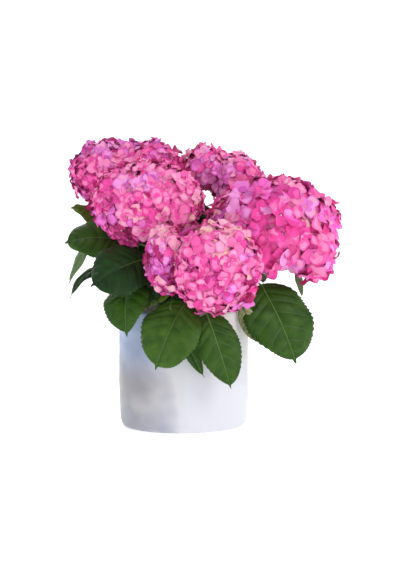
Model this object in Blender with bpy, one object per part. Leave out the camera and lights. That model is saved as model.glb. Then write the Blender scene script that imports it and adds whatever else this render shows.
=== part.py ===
"""Potted hydrangea: seven flowering shoots in a plain round pot.

Metres, +Z up. The origin is the centre of the pot's flat underside, and -Y is the front,
where the lowest bloom nods over the rim.

Each shoot is three solids in a row, CLEARANCE apart: a bare stem out of the potting mix,
a leafy length with its stalked leaves, and a bloom on its own stalk.
"""

import math
from collections import namedtuple

import bmesh
import bpy
import numpy as np
from mathutils.bvhtree import BVHTree

# ---- Driving dimensions ------------------------------------------------------------
CLEARANCE = 0.0003  # between neighbouring solids
SEED = 5

POT_RADIUS = 0.097
POT_HEIGHT = 0.176
POT_WALL = 0.007
POT_FLOOR = 0.010
POT_FOOT_RADIUS = 0.093
POT_FOOT_ROUND = 0.007
POT_SIDES = 36
POT_WAVES = ((2, 0.008, 0.6), (3, 0.005, 2.1), (5, 0.002, 4.0))  # lobes, share, phase
POT_BELLY = 0.55  # share of the height from which the side stands straight
POT_LOW_SIDE = 0.16  # share of the height where the side is still drawn in
POT_DRAW = 0.0010  # by this much
POT_BEND = 0.030  # and the same on the inside, this far above the floor
POT_CORNER = 0.006  # how much narrower the inside is at the floor
FOOT_ANGLES = (-90, -50, -10)  # round the outer corner of the foot
LIP_ANGLES = (0, 45, 90, 135, 180)  # over the rim
MIX_BELOW_RIM = 0.020
MIX_GAP = 0.00045  # between the mix and the pot's inside

STEM_SIDES = 7
STEM_STATIONS = 6  # along each length of a shoot
STEM_FOOT_RADIUS = 0.0062  # at the flare where a stem leaves the mix
STEM_RADIUS = 0.0046
NECK_RADIUS = 0.0032
FLARE_SHARE = 0.10
STALK_RADIUS = 0.0017
STALK_TAPER = (1.25, 1.0, 0.9, 0.35)  # at its foot, its middle, the blade and its end
STALK_ARCH = 0.12  # how far it arches up, as a share of its length
STALK_SUNK = 0.16  # share of the blade that the leafstalk runs on under
STEM_RISES = 0.55  # share of a shoot's height that it starts off straight up
BLOOM_LEAD = 0.085  # length over which a shoot lines up with its bloom
STALK_END = 0.9  # share of the shoot where a bloom's stalk ends, inside the core
TANGENT_STEP = 0.001  # share of the shoot, to either side

LEAF_THICKNESS = 0.0018
LEAF_FOLD = 0.20  # each half of a blade rises from the midrib by this share of its width
LEAF_CURL = 0.30  # and turns down again towards its margin
LEAF_WIDEST = 0.44  # share of the blade's length where it is widest
LEAF_POINT = 0.76  # how drawn out its tip is
LEAF_STATIONS = (0.06, 0.24, 0.50, 0.74, 0.91)
LEAF_COLUMNS = (-1.0, -0.5, 0.0, 0.5, 1.0)

CORE_SHARE = 0.80  # a bloom's core, as a share of its half-sizes
FLORET_ROOT = 0.68  # where a floret's stalk ends inside the core
BLOOM_COVER = math.radians(132)  # florets reach this far round from the bloom's crown
BLOOM_WAVE = 0.05  # how unevenly florets stand, as a share of the half-sizes
NOTCH_RADIUS = 0.52  # between two sepals, as a share of the floret's radius
SEPAL_LIFT = 0.10  # how far sepal tips rise, as a share of the floret's radius
FLORET_DISH = 0.10  # and how far its middle sinks
SEPALS = 4

# Linear colour and roughness of each kind of node.
FINISHES = {
    "pot": ((0.74, 0.77, 0.84), 0.45),
    "potting": ((0.045, 0.030, 0.022), 0.95),
    "stem": ((0.16, 0.20, 0.07), 0.70),
    "leaves": ((0.040, 0.125, 0.025), 0.45),
    "bloom": ((0.80, 0.12, 0.38), 0.60),
}

# ---- The shoots --------------------------------------------------------------------
# foot: where the stem leaves the mix. facing: the way the bloom's crown points.
# lobes: the bloom's rounded parts, the first on the stalk. floret: a floret's radius.
# bare and neck: shares of the shoot where its leafy length starts and ends.
# heading: of its lowest pair of leaves that follow the rule, in degrees from +X.
Shoot = namedtuple("Shoot", "name foot facing lobes floret bare neck leaves heading")
Lobe = namedtuple("Lobe", "centre radii florets")

# at: share of the shoot where the leafstalk starts. base, tip: the blade's two ends.
# face: the way its upper side looks. bow: how far it arches, as a share of its length.
Leaf = namedtuple("Leaf", "at base tip width face bow")

SHOOTS = (
    Shoot("front", (-0.018, -0.032), (0.10, -0.90, 0.42), (
        Lobe((0.048, -0.126, 0.245), (0.065, 0.057, 0.068), 32),
        Lobe((-0.022, -0.110, 0.256), (0.030, 0.034, 0.052), 15)),
        0.0185, 0.16, 0.52, (
        Leaf(0.36, (0.004, -0.091, 0.193), (-0.039, -0.146, 0.102), 0.088, (-0.10, -0.75, 0.60), 0.10),
        Leaf(0.44, (0.034, -0.108, 0.178), (0.069, -0.126, 0.071), 0.064, (0.10, -0.95, 0.25), 0.10),
        Leaf(0.30, (-0.018, -0.104, 0.186), (0.031, -0.112, 0.085), 0.028, (-0.30, -0.90, 0.25), 0.04),
        Leaf(0.30, (-0.004, -0.068, 0.214), (-0.034, -0.092, 0.184), 0.050, (-0.10, -0.80, 0.60), 0.08),
    ), 20),
    Shoot("left_front", (-0.030, 0.000), (-0.30, -0.35, 0.89), (
        Lobe((-0.053, -0.035, 0.333), (0.086, 0.062, 0.066), 32),),
        0.0180, 0.30, 0.56, (
        Leaf(0.50, (-0.052, -0.062, 0.254), (-0.132, -0.108, 0.216), 0.090, (-0.10, -0.80, 0.60), 0.10),
        Leaf(0.50, (-0.092, 0.004, 0.276), (-0.177, -0.010, 0.275), 0.072, (-0.05, -0.72, 0.69), 0.12),
        Leaf(0.36, (-0.078, -0.056, 0.218), (-0.080, -0.128, 0.147), 0.068, (-0.25, -0.62, 0.72), 0.14),
        Leaf(0.42, (-0.040, -0.058, 0.228), (-0.072, -0.086, 0.184), 0.056, (-0.25, -0.70, 0.65), 0.10),
    ), 60),
    Shoot("left_back", (-0.022, 0.030), (-0.35, 0.30, 0.88), (
        Lobe((-0.114, 0.085, 0.375), (0.064, 0.052, 0.052), 23),
        Lobe((-0.056, 0.080, 0.376), (0.059, 0.050, 0.052), 20),
        Lobe((-0.085, 0.082, 0.379), (0.044, 0.044, 0.049), 8)),
        0.0185, 0.30, 0.58, (
        Leaf(0.50, (-0.138, 0.020, 0.280), (-0.173, 0.010, 0.212), 0.022, (-0.50, -0.60, 0.60), 0.04),
        Leaf(0.40, (-0.112, 0.020, 0.235), (-0.171, 0.006, 0.190), 0.030, (-0.50, -0.40, 0.76), 0.20),
        Leaf(0.53, (-0.116, 0.064, 0.300), (-0.171, 0.046, 0.326), 0.054, (-0.20, -0.45, 0.85), 0.06),
        Leaf(0.46, (-0.060, 0.042, 0.290), (-0.078, 0.026, 0.232), 0.074, (-0.10, -0.85, 0.40), 0.08),
    ), 120),
    Shoot("centre_back", (0.008, 0.034), (0.25, 0.25, 0.93), (
        Lobe((0.077, 0.086, 0.366), (0.041, 0.045, 0.042), 14),
        Lobe((0.034, 0.086, 0.382), (0.040, 0.045, 0.037), 13)),
        0.0185, 0.30, 0.60, (
        Leaf(0.50, (0.046, 0.034, 0.296), (0.009, 0.034, 0.337), 0.036, (0.50, -0.70, 0.40), 0.06),
    ), 80),
    Shoot("right", (0.032, -0.004), (0.50, -0.22, 0.84), (
        Lobe((0.132, -0.025, 0.298), (0.098, 0.076, 0.075), 28),
        Lobe((0.179, -0.035, 0.268), (0.047, 0.052, 0.047), 12)),
        0.0215, 0.20, 0.50, (
        Leaf(0.42, (0.114, -0.030, 0.214), (0.166, -0.062, 0.100), 0.102, (0.12, -0.80, 0.55), 0.10),
        Leaf(0.30, (0.087, -0.062, 0.184), (0.107, -0.060, 0.130), 0.026, (-0.20, -0.80, 0.50), 0.04),
        Leaf(0.44, (0.171, 0.020, 0.231), (0.179, 0.010, 0.191), 0.014, (0.50, -0.80, 0.20), 0.04),
        Leaf(0.36, (0.102, 0.024, 0.206), (0.148, 0.052, 0.124), 0.076, (0.55, 0.35, 0.70), 0.10),
    ), 45),
    Shoot("right_back", (0.032, 0.026), (0.55, 0.55, 0.62), (
        Lobe((0.128, 0.110, 0.282), (0.060, 0.056, 0.054), 24),),
        0.0185, 0.22, 0.55, (
        Leaf(0.40, (0.080, 0.084, 0.200), (0.120, 0.140, 0.116), 0.080, (0.50, 0.55, 0.65), 0.10),
    ), 20),
    Shoot("back", (-0.006, 0.044), (0.00, 0.90, 0.42), (
        Lobe((-0.012, 0.142, 0.254), (0.066, 0.056, 0.062), 28),),
        0.0185, 0.20, 0.55, (
        Leaf(0.42, (-0.045, 0.100, 0.198), (-0.074, 0.152, 0.106), 0.084, (-0.15, 0.75, 0.60), 0.10),
        Leaf(0.34, (0.040, 0.098, 0.196), (0.064, 0.142, 0.098), 0.080, (0.20, 0.80, 0.50), 0.10),
    ), 55),
)

# Leaves that follow the rule: pairs that cross from node to node up the leafy length,
# large and hanging at the foot, smaller and flatter towards the bloom.
PAIR_COUNT = 3
PAIR_STALKS = (0.044, 0.028)  # lowest and highest pair
PAIR_LENGTHS = (0.104, 0.070)
PAIR_PITCHES = (math.radians(-52), math.radians(-25))
PAIR_STALK_RISE = math.radians(22)
PAIR_WIDTH = 0.74  # share of the length
PAIR_BOW = 0.12
PAIR_REACH = (0.08, 0.74)  # of the leafy length, from its lowest pair to its highest
PAIR_JITTER = 0.12
PAIR_TURN = math.radians(9)
PAIR_SHRINK = 0.94
PAIR_ATTEMPTS = 6
CROWN_CENTRE = (0.000, 0.030, 0.250)  # leaves of the rule keep to this round space
CROWN_RADII = (0.138, 0.180, 0.150)

# ---- Worked out from those ---------------------------------------------------------
MIX_TOP = POT_HEIGHT - MIX_BELOW_RIM
GOLDEN_ANGLE = math.pi * (3 - math.sqrt(5))
UP = np.array((0.0, 0.0, 1.0))
ASIDE = np.array((0.31, 0.87, 0.12))  # no shape's own axis lies along this


def unit(vector):
    vector = np.asarray(vector, float)
    return vector / np.linalg.norm(vector)


# ---- Shapes: each is (vertices, faces) of one closed body --------------------------
def sweep(path, radii, sides, tangents=None):
    """A tube along path, capped square to it at both ends."""
    path = np.asarray(path, float)
    if tangents is None:
        tangents = np.gradient(path, axis=0)
    across = unit(np.cross(tangents[0], ASIDE))
    turns = 2 * math.pi * np.arange(sides) / sides
    rings = []
    for point, tangent, radius in zip(path, tangents, radii):
        tangent = unit(tangent)
        across = unit(across - tangent * across.dot(tangent))
        other = np.cross(tangent, across)
        rings.append(point + radius * (np.outer(np.cos(turns), across) + np.outer(np.sin(turns), other)))
    faces = [tuple(range(sides))[::-1]]
    for start in range(0, sides * (len(path) - 1), sides):
        for k in range(sides):
            nxt = (k + 1) % sides
            faces.append((start + k, start + nxt, start + sides + nxt, start + sides + k))
    last = sides * (len(path) - 1)
    faces.append(tuple(range(last, last + sides)))
    return np.concatenate(rings), faces


def turned(profile, sides, radius_scale):
    """A solid turned about Z from (radius, z) points that start and end on the axis."""
    angles = 2 * math.pi * np.arange(sides) / sides
    vertices = [(0.0, 0.0, profile[0][1])]
    for radius, z in profile[1:-1]:
        for angle in angles:
            r = radius * radius_scale(angle)
            vertices.append((r * math.cos(angle), r * math.sin(angle), z))
    vertices.append((0.0, 0.0, profile[-1][1]))
    faces = []
    rings = len(profile) - 2
    for k in range(sides):
        nxt = (k + 1) % sides
        faces.append((0, 1 + nxt, 1 + k))
        for ring in range(rings - 1):
            low = 1 + ring * sides
            faces.append((low + k, low + nxt, low + sides + nxt, low + sides + k))
        low = 1 + (rings - 1) * sides
        faces.append((low + k, low + nxt, len(vertices) - 1))
    return np.array(vertices), faces


def leaf_outline(share):
    """Half the blade's width at a share of its length: 1 where it is widest."""
    rise = LEAF_POINT * LEAF_WIDEST / (1 - LEAF_WIDEST)
    peak = LEAF_WIDEST ** rise * (1 - LEAF_WIDEST) ** LEAF_POINT
    return share ** rise * (1 - share) ** LEAF_POINT / peak


def leaf_frame(leaf):
    """The blade's own axes: along the midrib, out to its left and up from it."""
    along = unit(np.subtract(leaf.tip, leaf.base))
    left = unit(np.cross(leaf.face, along))
    return along, left, np.cross(along, left)


def midrib(leaf, share):
    reach = np.subtract(leaf.tip, leaf.base)
    arch = leaf.bow * np.linalg.norm(reach) * 4 * share * (1 - share)
    return leaf.base + reach * share + leaf_frame(leaf)[2] * arch


def blade(leaf, grow=0.0):
    """A leaf blade, thickest at its midrib and drawn out to a point."""
    along, left, upward = leaf_frame(leaf)
    vertices = [leaf.base - along * grow]
    for share in LEAF_STATIONS:
        centre = midrib(leaf, share)
        half = leaf.width / 2 * leaf_outline(share) + grow
        upper = []
        for u in LEAF_COLUMNS:
            height = half * (LEAF_FOLD * abs(u) - LEAF_CURL * u * u) + grow
            upper.append(centre + left * half * u + upward * height)
        vertices += upper
        vertices += [point - upward * (LEAF_THICKNESS + 2 * grow) for point in upper[1:-1]]
    vertices.append(leaf.tip + along * grow)
    end = len(vertices) - 1
    ring = (0, 1, 2, 3, 4, 7, 6, 5)  # round one station: over the top and back below
    faces = []
    for a, b in zip(ring, ring[1:] + ring[:1]):
        faces.append((0, 1 + b, 1 + a))
        for low in range(1, end - 8, 8):
            faces.append((low + a, low + b, low + 8 + b, low + 8 + a))
        faces.append((end - 8 + a, end - 8 + b, end))
    return np.array(vertices), faces


def leafstalk(node, leaf, grow=0.0):
    """A three-sided stalk that runs on under the blade's midrib."""
    under = leaf_frame(leaf)[2] * LEAF_THICKNESS / 2
    start = leaf.base - under
    arch = UP * STALK_ARCH * np.linalg.norm(leaf.base - node)
    path = (node, (node + start) / 2 + arch, start, midrib(leaf, STALK_SUNK) - under)
    return sweep(path, np.array(STALK_TAPER) * STALK_RADIUS + grow, 3)


def floret(lobe, direction, height, turn, radius, grow=0.0):
    """Four sepals as a star with eight points, on a stalk drawn down into the core."""
    centre = np.asarray(lobe.centre)
    radii = np.asarray(lobe.radii)
    seat = centre + radii * direction * height
    root = centre + radii * direction * FLORET_ROOT
    normal = unit(direction / radii)
    across = unit(np.cross(normal, ASIDE))
    other = np.cross(normal, across)
    vertices = [seat - normal * radius * FLORET_DISH + normal * grow]
    points = 2 * SEPALS
    for k in range(points):
        angle = turn + k * math.pi / SEPALS
        reach = radius * (1.0 if k % 2 == 0 else NOTCH_RADIUS) + grow
        lift = radius * (SEPAL_LIFT if k % 2 == 0 else 0.0)
        vertices.append(seat + (across * math.cos(angle) + other * math.sin(angle)) * reach + normal * lift)
    vertices.append(root)
    faces = []
    for k in range(points):
        nxt = (k + 1) % points
        faces.append((0, 1 + k, 1 + nxt))
        faces.append((points + 1, 1 + nxt, 1 + k))
    return np.array(vertices), faces


def core(lobe):
    """The lobe's smaller body, which its florets stand out of."""
    ball = bmesh.new()
    bmesh.ops.create_icosphere(ball, subdivisions=2, radius=1.0)
    vertices = np.array([v.co for v in ball.verts])
    faces = [tuple(v.index for v in face.verts) for face in ball.faces]
    ball.free()
    return vertices * np.asarray(lobe.radii) * CORE_SHARE + np.asarray(lobe.centre), faces


# ---- Where things go ---------------------------------------------------------------
def shoot_point(shoot, share):
    """A point on the shoot's curve: straight up at first, then in line with its bloom."""
    foot = np.array((*shoot.foot, MIX_TOP + CLEARANCE))
    head = np.asarray(shoot.lobes[0].centre)
    rising = foot + UP * STEM_RISES * (head[2] - foot[2])
    leading = head - unit(shoot.facing) * BLOOM_LEAD
    away = 1 - share
    low = away ** 3 * foot + 3 * away ** 2 * share * rising
    return low + 3 * away * share ** 2 * leading + share ** 3 * head


def shoot_tangent(shoot, share):
    return shoot_point(shoot, share + TANGENT_STEP) - shoot_point(shoot, share - TANGENT_STEP)


def shoot_radius(share):
    """The stem's radius: a flare at its foot, then an even taper to the bloom."""
    taper = STEM_RADIUS + (NECK_RADIUS - STEM_RADIUS) * share
    flare = max(0.0, 1 - share / FLARE_SHARE)
    return taper + (STEM_FOOT_RADIUS - STEM_RADIUS) * flare ** 2


def shoot_length(shoot, start, end):
    shares = np.linspace(start, end, STEM_STATIONS)
    path = [shoot_point(shoot, share) for share in shares]
    tangents = [shoot_tangent(shoot, share) for share in shares]
    return sweep(path, [shoot_radius(share) for share in shares], STEM_SIDES, tangents)


def past(shoot, share):
    """The share that lies CLEARANCE further along the shoot."""
    return share + CLEARANCE * 2 * TANGENT_STEP / np.linalg.norm(shoot_tangent(shoot, share))


def between(ends, share):
    return ends[0] + (ends[1] - ends[0]) * share


def rule_leaf(shoot, pair, side, attempt, rng):
    """One leaf of a pair. Each attempt turns further from its heading and is smaller."""
    level = pair / (PAIR_COUNT - 1)
    at = between((shoot.bare, shoot.neck), between(PAIR_REACH, level))
    turn = PAIR_TURN * (1 + attempt) * rng.uniform(-1, 1)
    heading = math.radians(shoot.heading + 90 * pair + 180 * side) + turn
    size = (1 + PAIR_JITTER * rng.uniform(-1, 1)) * PAIR_SHRINK ** attempt
    pitch = between(PAIR_PITCHES, level) * (1 + 2 * PAIR_JITTER * rng.uniform(-1, 1))
    out = np.array((math.cos(heading), math.sin(heading), 0.0))
    stalk = between(PAIR_STALKS, level) * size
    length = between(PAIR_LENGTHS, level) * size
    rise = out * math.cos(PAIR_STALK_RISE) + UP * math.sin(PAIR_STALK_RISE)
    base = shoot_point(shoot, at) + stalk * rise
    tip = base + length * (out * math.cos(pitch) + UP * math.sin(pitch))
    face = out * math.sin(-pitch) + UP * math.cos(pitch)
    return Leaf(at, base, tip, length * PAIR_WIDTH, face, PAIR_BOW)


def in_crown(leaf):
    return np.linalg.norm((leaf.tip - np.array(CROWN_CENTRE)) / CROWN_RADII) < 1


def floret_seats(shoot, lobe, rng):
    """Evenly spread directions from the crown outward, with uneven heights and turns."""
    facing = unit(shoot.facing)
    across = unit(np.cross(facing, ASIDE))
    other = np.cross(facing, across)
    for k in range(lobe.florets):
        drop = (k + 0.5) / lobe.florets * (1 - math.cos(BLOOM_COVER))
        around = k * GOLDEN_ANGLE
        level = 1 - drop
        out = math.sqrt(1 - level * level)
        direction = facing * level + (across * math.cos(around) + other * math.sin(around)) * out
        height = 1 - SEPAL_LIFT * shoot.floret / min(lobe.radii) - BLOOM_WAVE * rng.uniform(0, 1)
        yield direction, height, rng.uniform(0, math.pi / 2)


def inside(point, lobe):
    return np.linalg.norm((np.asarray(point) - lobe.centre) / np.asarray(lobe.radii)) < 1


# ---- Keeping nodes apart -----------------------------------------------------------
placed = {}  # node name: search trees of the solids that are in it


def search_tree(shape):
    return BVHTree.FromPolygons([tuple(v) for v in shape[0]], shape[1])


def is_free(shape, node):
    """True where the shape cuts no solid of another node."""
    tree = search_tree(shape)
    return not any(tree.overlap(other) for name in placed if name != node for other in placed[name])


def place(shapes, node):
    placed.setdefault(node, []).extend(search_tree(shape) for shape in shapes)


# ---- Objects -----------------------------------------------------------------------
def finish_material(name):
    """Each node's own material, in the finish of its kind."""
    colour, roughness = FINISHES[name.split("_")[0]]
    material = bpy.data.materials.new(name)
    material.use_nodes = True
    shader = material.node_tree.nodes["Principled BSDF"]
    shader.inputs["Base Color"].default_value = (*colour, 1.0)
    shader.inputs["Roughness"].default_value = roughness
    material.diffuse_color = (*colour, 1.0)
    return material


def loose_object(name, shape):
    mesh = bpy.data.meshes.new(name)
    mesh.from_pydata([tuple(v) for v in shape[0]], [], shape[1])
    mesh.update()
    return bpy.data.objects.new(name, mesh)


def drop_scraps(mesh):
    """Keep the largest shell: fills sealed hollows and drops loose scraps."""
    shells = bmesh.new()
    shells.from_mesh(mesh)
    unseen = set(shells.verts)
    islands = []
    while unseen:
        island = {unseen.pop()}
        front = list(island)
        while front:
            for edge in front.pop().link_edges:
                for vertex in edge.verts:
                    if vertex in unseen:
                        unseen.discard(vertex)
                        island.add(vertex)
                        front.append(vertex)
        islands.append(island)
    largest = max(islands, key=len)
    scraps = [vertex for vertex in shells.verts if vertex not in largest]
    bmesh.ops.delete(shells, geom=scraps, context="VERTS")
    shells.to_mesh(mesh)
    shells.free()


def add_node(name, shapes):
    """One node: its shapes joined by a Boolean union, or its only shape as it is."""
    body = loose_object(name, shapes[0])
    bpy.context.scene.collection.objects.link(body)
    if len(shapes) > 1:
        joined = bpy.data.collections.new(name + "_shapes")
        bpy.context.scene.collection.children.link(joined)
        for k, shape in enumerate(shapes[1:]):
            joined.objects.link(loose_object(f"{name}_shape_{k}", shape))
        union = body.modifiers.new("union", "BOOLEAN")
        union.operation = "UNION"
        union.operand_type = "COLLECTION"
        union.collection = joined
        union.solver = "EXACT"
        evaluated = body.evaluated_get(bpy.context.evaluated_depsgraph_get())
        body.data = bpy.data.meshes.new_from_object(evaluated)
        body.modifiers.clear()
        for piece in list(joined.objects):
            bpy.data.objects.remove(piece)
        bpy.data.collections.remove(joined)
        drop_scraps(body.data)
    body.data.materials.clear()
    body.data.materials.append(finish_material(name))


# ---- Pot and potting mix -----------------------------------------------------------
def pot_wave(angle):
    """The pot was formed by hand, so it is a little out of round."""
    return 1 + sum(share * math.sin(lobes * angle + phase) for lobes, share, phase in POT_WAVES)


def pot_inside(gap=0.0):
    """Radius and height up the pot's inside, from its floor to where its side is straight."""
    return [
        (POT_FOOT_RADIUS - POT_WALL - POT_CORNER - gap, POT_FLOOR + gap),
        (POT_RADIUS - POT_WALL - POT_DRAW - gap, POT_FLOOR + POT_BEND),
        (POT_RADIUS - POT_WALL - gap, POT_HEIGHT * POT_BELLY),
    ]


def pot_profile():
    lip = POT_WALL / 2
    corner = POT_FOOT_RADIUS - POT_FOOT_ROUND
    profile = [(0.0, 0.0)]
    for angle in FOOT_ANGLES:
        turn = math.radians(angle)
        profile.append((corner + POT_FOOT_ROUND * math.cos(turn), POT_FOOT_ROUND * (1 + math.sin(turn))))
    profile.append((POT_RADIUS - POT_DRAW, POT_HEIGHT * POT_LOW_SIDE))
    profile.append((POT_RADIUS, POT_HEIGHT * POT_BELLY))
    for angle in LIP_ANGLES:
        turn = math.radians(angle)
        profile.append((POT_RADIUS - lip + lip * math.cos(turn), POT_HEIGHT - lip + lip * math.sin(turn)))
    return profile + pot_inside()[::-1] + [(0.0, POT_FLOOR)]


def mix_profile():
    """The mix fills the pot, MIX_GAP from its wall and floor."""
    side = POT_RADIUS - POT_WALL - MIX_GAP
    return [(0.0, POT_FLOOR + MIX_GAP)] + pot_inside(MIX_GAP) + [(side, MIX_TOP), (0.0, MIX_TOP)]


# ---- Building ----------------------------------------------------------------------
def build_pot():
    pot = turned(pot_profile(), POT_SIDES, pot_wave)
    mix = turned(mix_profile(), POT_SIDES, pot_wave)
    place([pot], "pot")
    place([mix], "potting_mix")
    add_node("pot", [pot])
    add_node("potting_mix", [mix])


def build_limbs(nodes):
    """The stems, leafy lengths and bloom stalks with their cores, before what they carry."""
    for shoot in SHOOTS:
        stem = shoot_length(shoot, 0.0, shoot.bare)
        leafy = shoot_length(shoot, past(shoot, shoot.bare), shoot.neck)
        stalk = shoot_length(shoot, past(shoot, shoot.neck), STALK_END)
        nodes["stem_" + shoot.name] = [stem]
        nodes["leaves_" + shoot.name] = [leafy]
        nodes["bloom_" + shoot.name] = [core(lobe) for lobe in shoot.lobes] + [stalk]
    for node, shapes in nodes.items():
        place(shapes, node)


def build_florets(shoot, shapes):
    node = "bloom_" + shoot.name
    rng = np.random.default_rng(SEED)
    for lobe in shoot.lobes:
        others = [other for other in shoot.lobes if other is not lobe]
        for direction, height, turn in floret_seats(shoot, lobe, rng):
            seat = np.asarray(lobe.centre) + np.asarray(lobe.radii) * direction * height
            if any(inside(seat, other) for other in others):
                continue
            if is_free(floret(lobe, direction, height, turn, shoot.floret, CLEARANCE), node):
                star = floret(lobe, direction, height, turn, shoot.floret)
                shapes.append(star)
                place([star], node)


def build_leaf(shoot, leaf, shapes):
    """Add a leaf where it is clear of every other node, and say whether it was added."""
    node = "leaves_" + shoot.name
    start = shoot_point(shoot, leaf.at)
    if not is_free(leafstalk(start, leaf, CLEARANCE), node) or not is_free(blade(leaf, CLEARANCE), node):
        return False
    added = [leafstalk(start, leaf), blade(leaf)]
    shapes += added
    place(added, node)
    return True


def build_pairs(shoot, shapes, rng):
    """Pairs of leaves up the leafy length, each across the pair below."""
    for pair in range(PAIR_COUNT):
        for side in range(2):
            for attempt in range(PAIR_ATTEMPTS):
                leaf = rule_leaf(shoot, pair, side, attempt, rng)
                if in_crown(leaf) and build_leaf(shoot, leaf, shapes):
                    break


def build():
    for old in list(bpy.data.objects):
        bpy.data.objects.remove(old)
    build_pot()
    nodes = {}
    build_limbs(nodes)
    for shoot in SHOOTS:
        build_florets(shoot, nodes["bloom_" + shoot.name])
    for shoot in SHOOTS:
        for leaf in shoot.leaves:
            build_leaf(shoot, leaf, nodes["leaves_" + shoot.name])
    rng = np.random.default_rng(SEED)
    for shoot in SHOOTS:
        build_pairs(shoot, nodes["leaves_" + shoot.name], rng)
    for node, shapes in nodes.items():
        add_node(node, shapes)


build()
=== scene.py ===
"""Looks of the potted hydrangea, in metres, +Z up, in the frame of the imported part.

Seven shoots stand in a round white pot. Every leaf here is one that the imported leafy
lengths hold, made again with veins and a toothed margin. Every bloom is 90 to 172
four-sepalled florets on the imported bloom's rounded lobes.
"""

import math
from collections import namedtuple

import bpy
import numpy as np
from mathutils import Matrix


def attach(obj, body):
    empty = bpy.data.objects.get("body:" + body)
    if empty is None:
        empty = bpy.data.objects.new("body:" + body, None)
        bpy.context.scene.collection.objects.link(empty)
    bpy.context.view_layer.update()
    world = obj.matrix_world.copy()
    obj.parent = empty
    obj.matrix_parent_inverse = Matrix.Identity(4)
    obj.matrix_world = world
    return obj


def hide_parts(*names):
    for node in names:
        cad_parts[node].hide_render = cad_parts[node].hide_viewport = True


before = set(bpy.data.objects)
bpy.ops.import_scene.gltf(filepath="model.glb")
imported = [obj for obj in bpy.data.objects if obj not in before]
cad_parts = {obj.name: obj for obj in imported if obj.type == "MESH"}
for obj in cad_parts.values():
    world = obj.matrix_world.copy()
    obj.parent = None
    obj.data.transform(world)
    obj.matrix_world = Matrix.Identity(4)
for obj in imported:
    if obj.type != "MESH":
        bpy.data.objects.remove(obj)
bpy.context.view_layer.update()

# ---- The part's own sizes: the same values as in its source ----
CLEARANCE = 0.0003
SEED = 5

POT_RADIUS = 0.097
POT_HEIGHT = 0.176
POT_WALL = 0.007
POT_FLOOR = 0.010
POT_FOOT_RADIUS = 0.093
POT_WAVES = ((2, 0.008, 0.6), (3, 0.005, 2.1), (5, 0.002, 4.0))  # lobes, share, phase
MIX_TOP = POT_HEIGHT - 0.020

STEM_FOOT_RADIUS = 0.0062
STEM_RADIUS = 0.0046
NECK_RADIUS = 0.0032
FLARE_SHARE = 0.10
STALK_RADIUS = 0.0017
STALK_ARCH = 0.12
STALK_SUNK = 0.16
STEM_RISES = 0.55
BLOOM_LEAD = 0.085
STALK_END = 0.9

LEAF_THICKNESS = 0.0018
LEAF_FOLD = 0.20
LEAF_CURL = 0.30

BLOOM_COVER = math.radians(132)  # florets reach this far round from the bloom's crown

# foot: where the stem leaves the mix. facing: the way the bloom's crown points.
# lobes: the bloom's rounded parts, the first on the stalk. floret: a floret's radius.
# bare and neck: shares of the shoot where its leafy length starts and ends.
# heading: of its lowest pair of leaves that follow the rule, in degrees from +X.
Shoot = namedtuple("Shoot", "name foot facing lobes floret bare neck leaves heading")
Lobe = namedtuple("Lobe", "centre radii")

# at: share of the shoot where the leafstalk starts. base, tip: the blade's two ends.
# face: the way its upper side looks. bow: how far it arches, as a share of its length.
Leaf = namedtuple("Leaf", "at base tip width face bow")

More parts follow.
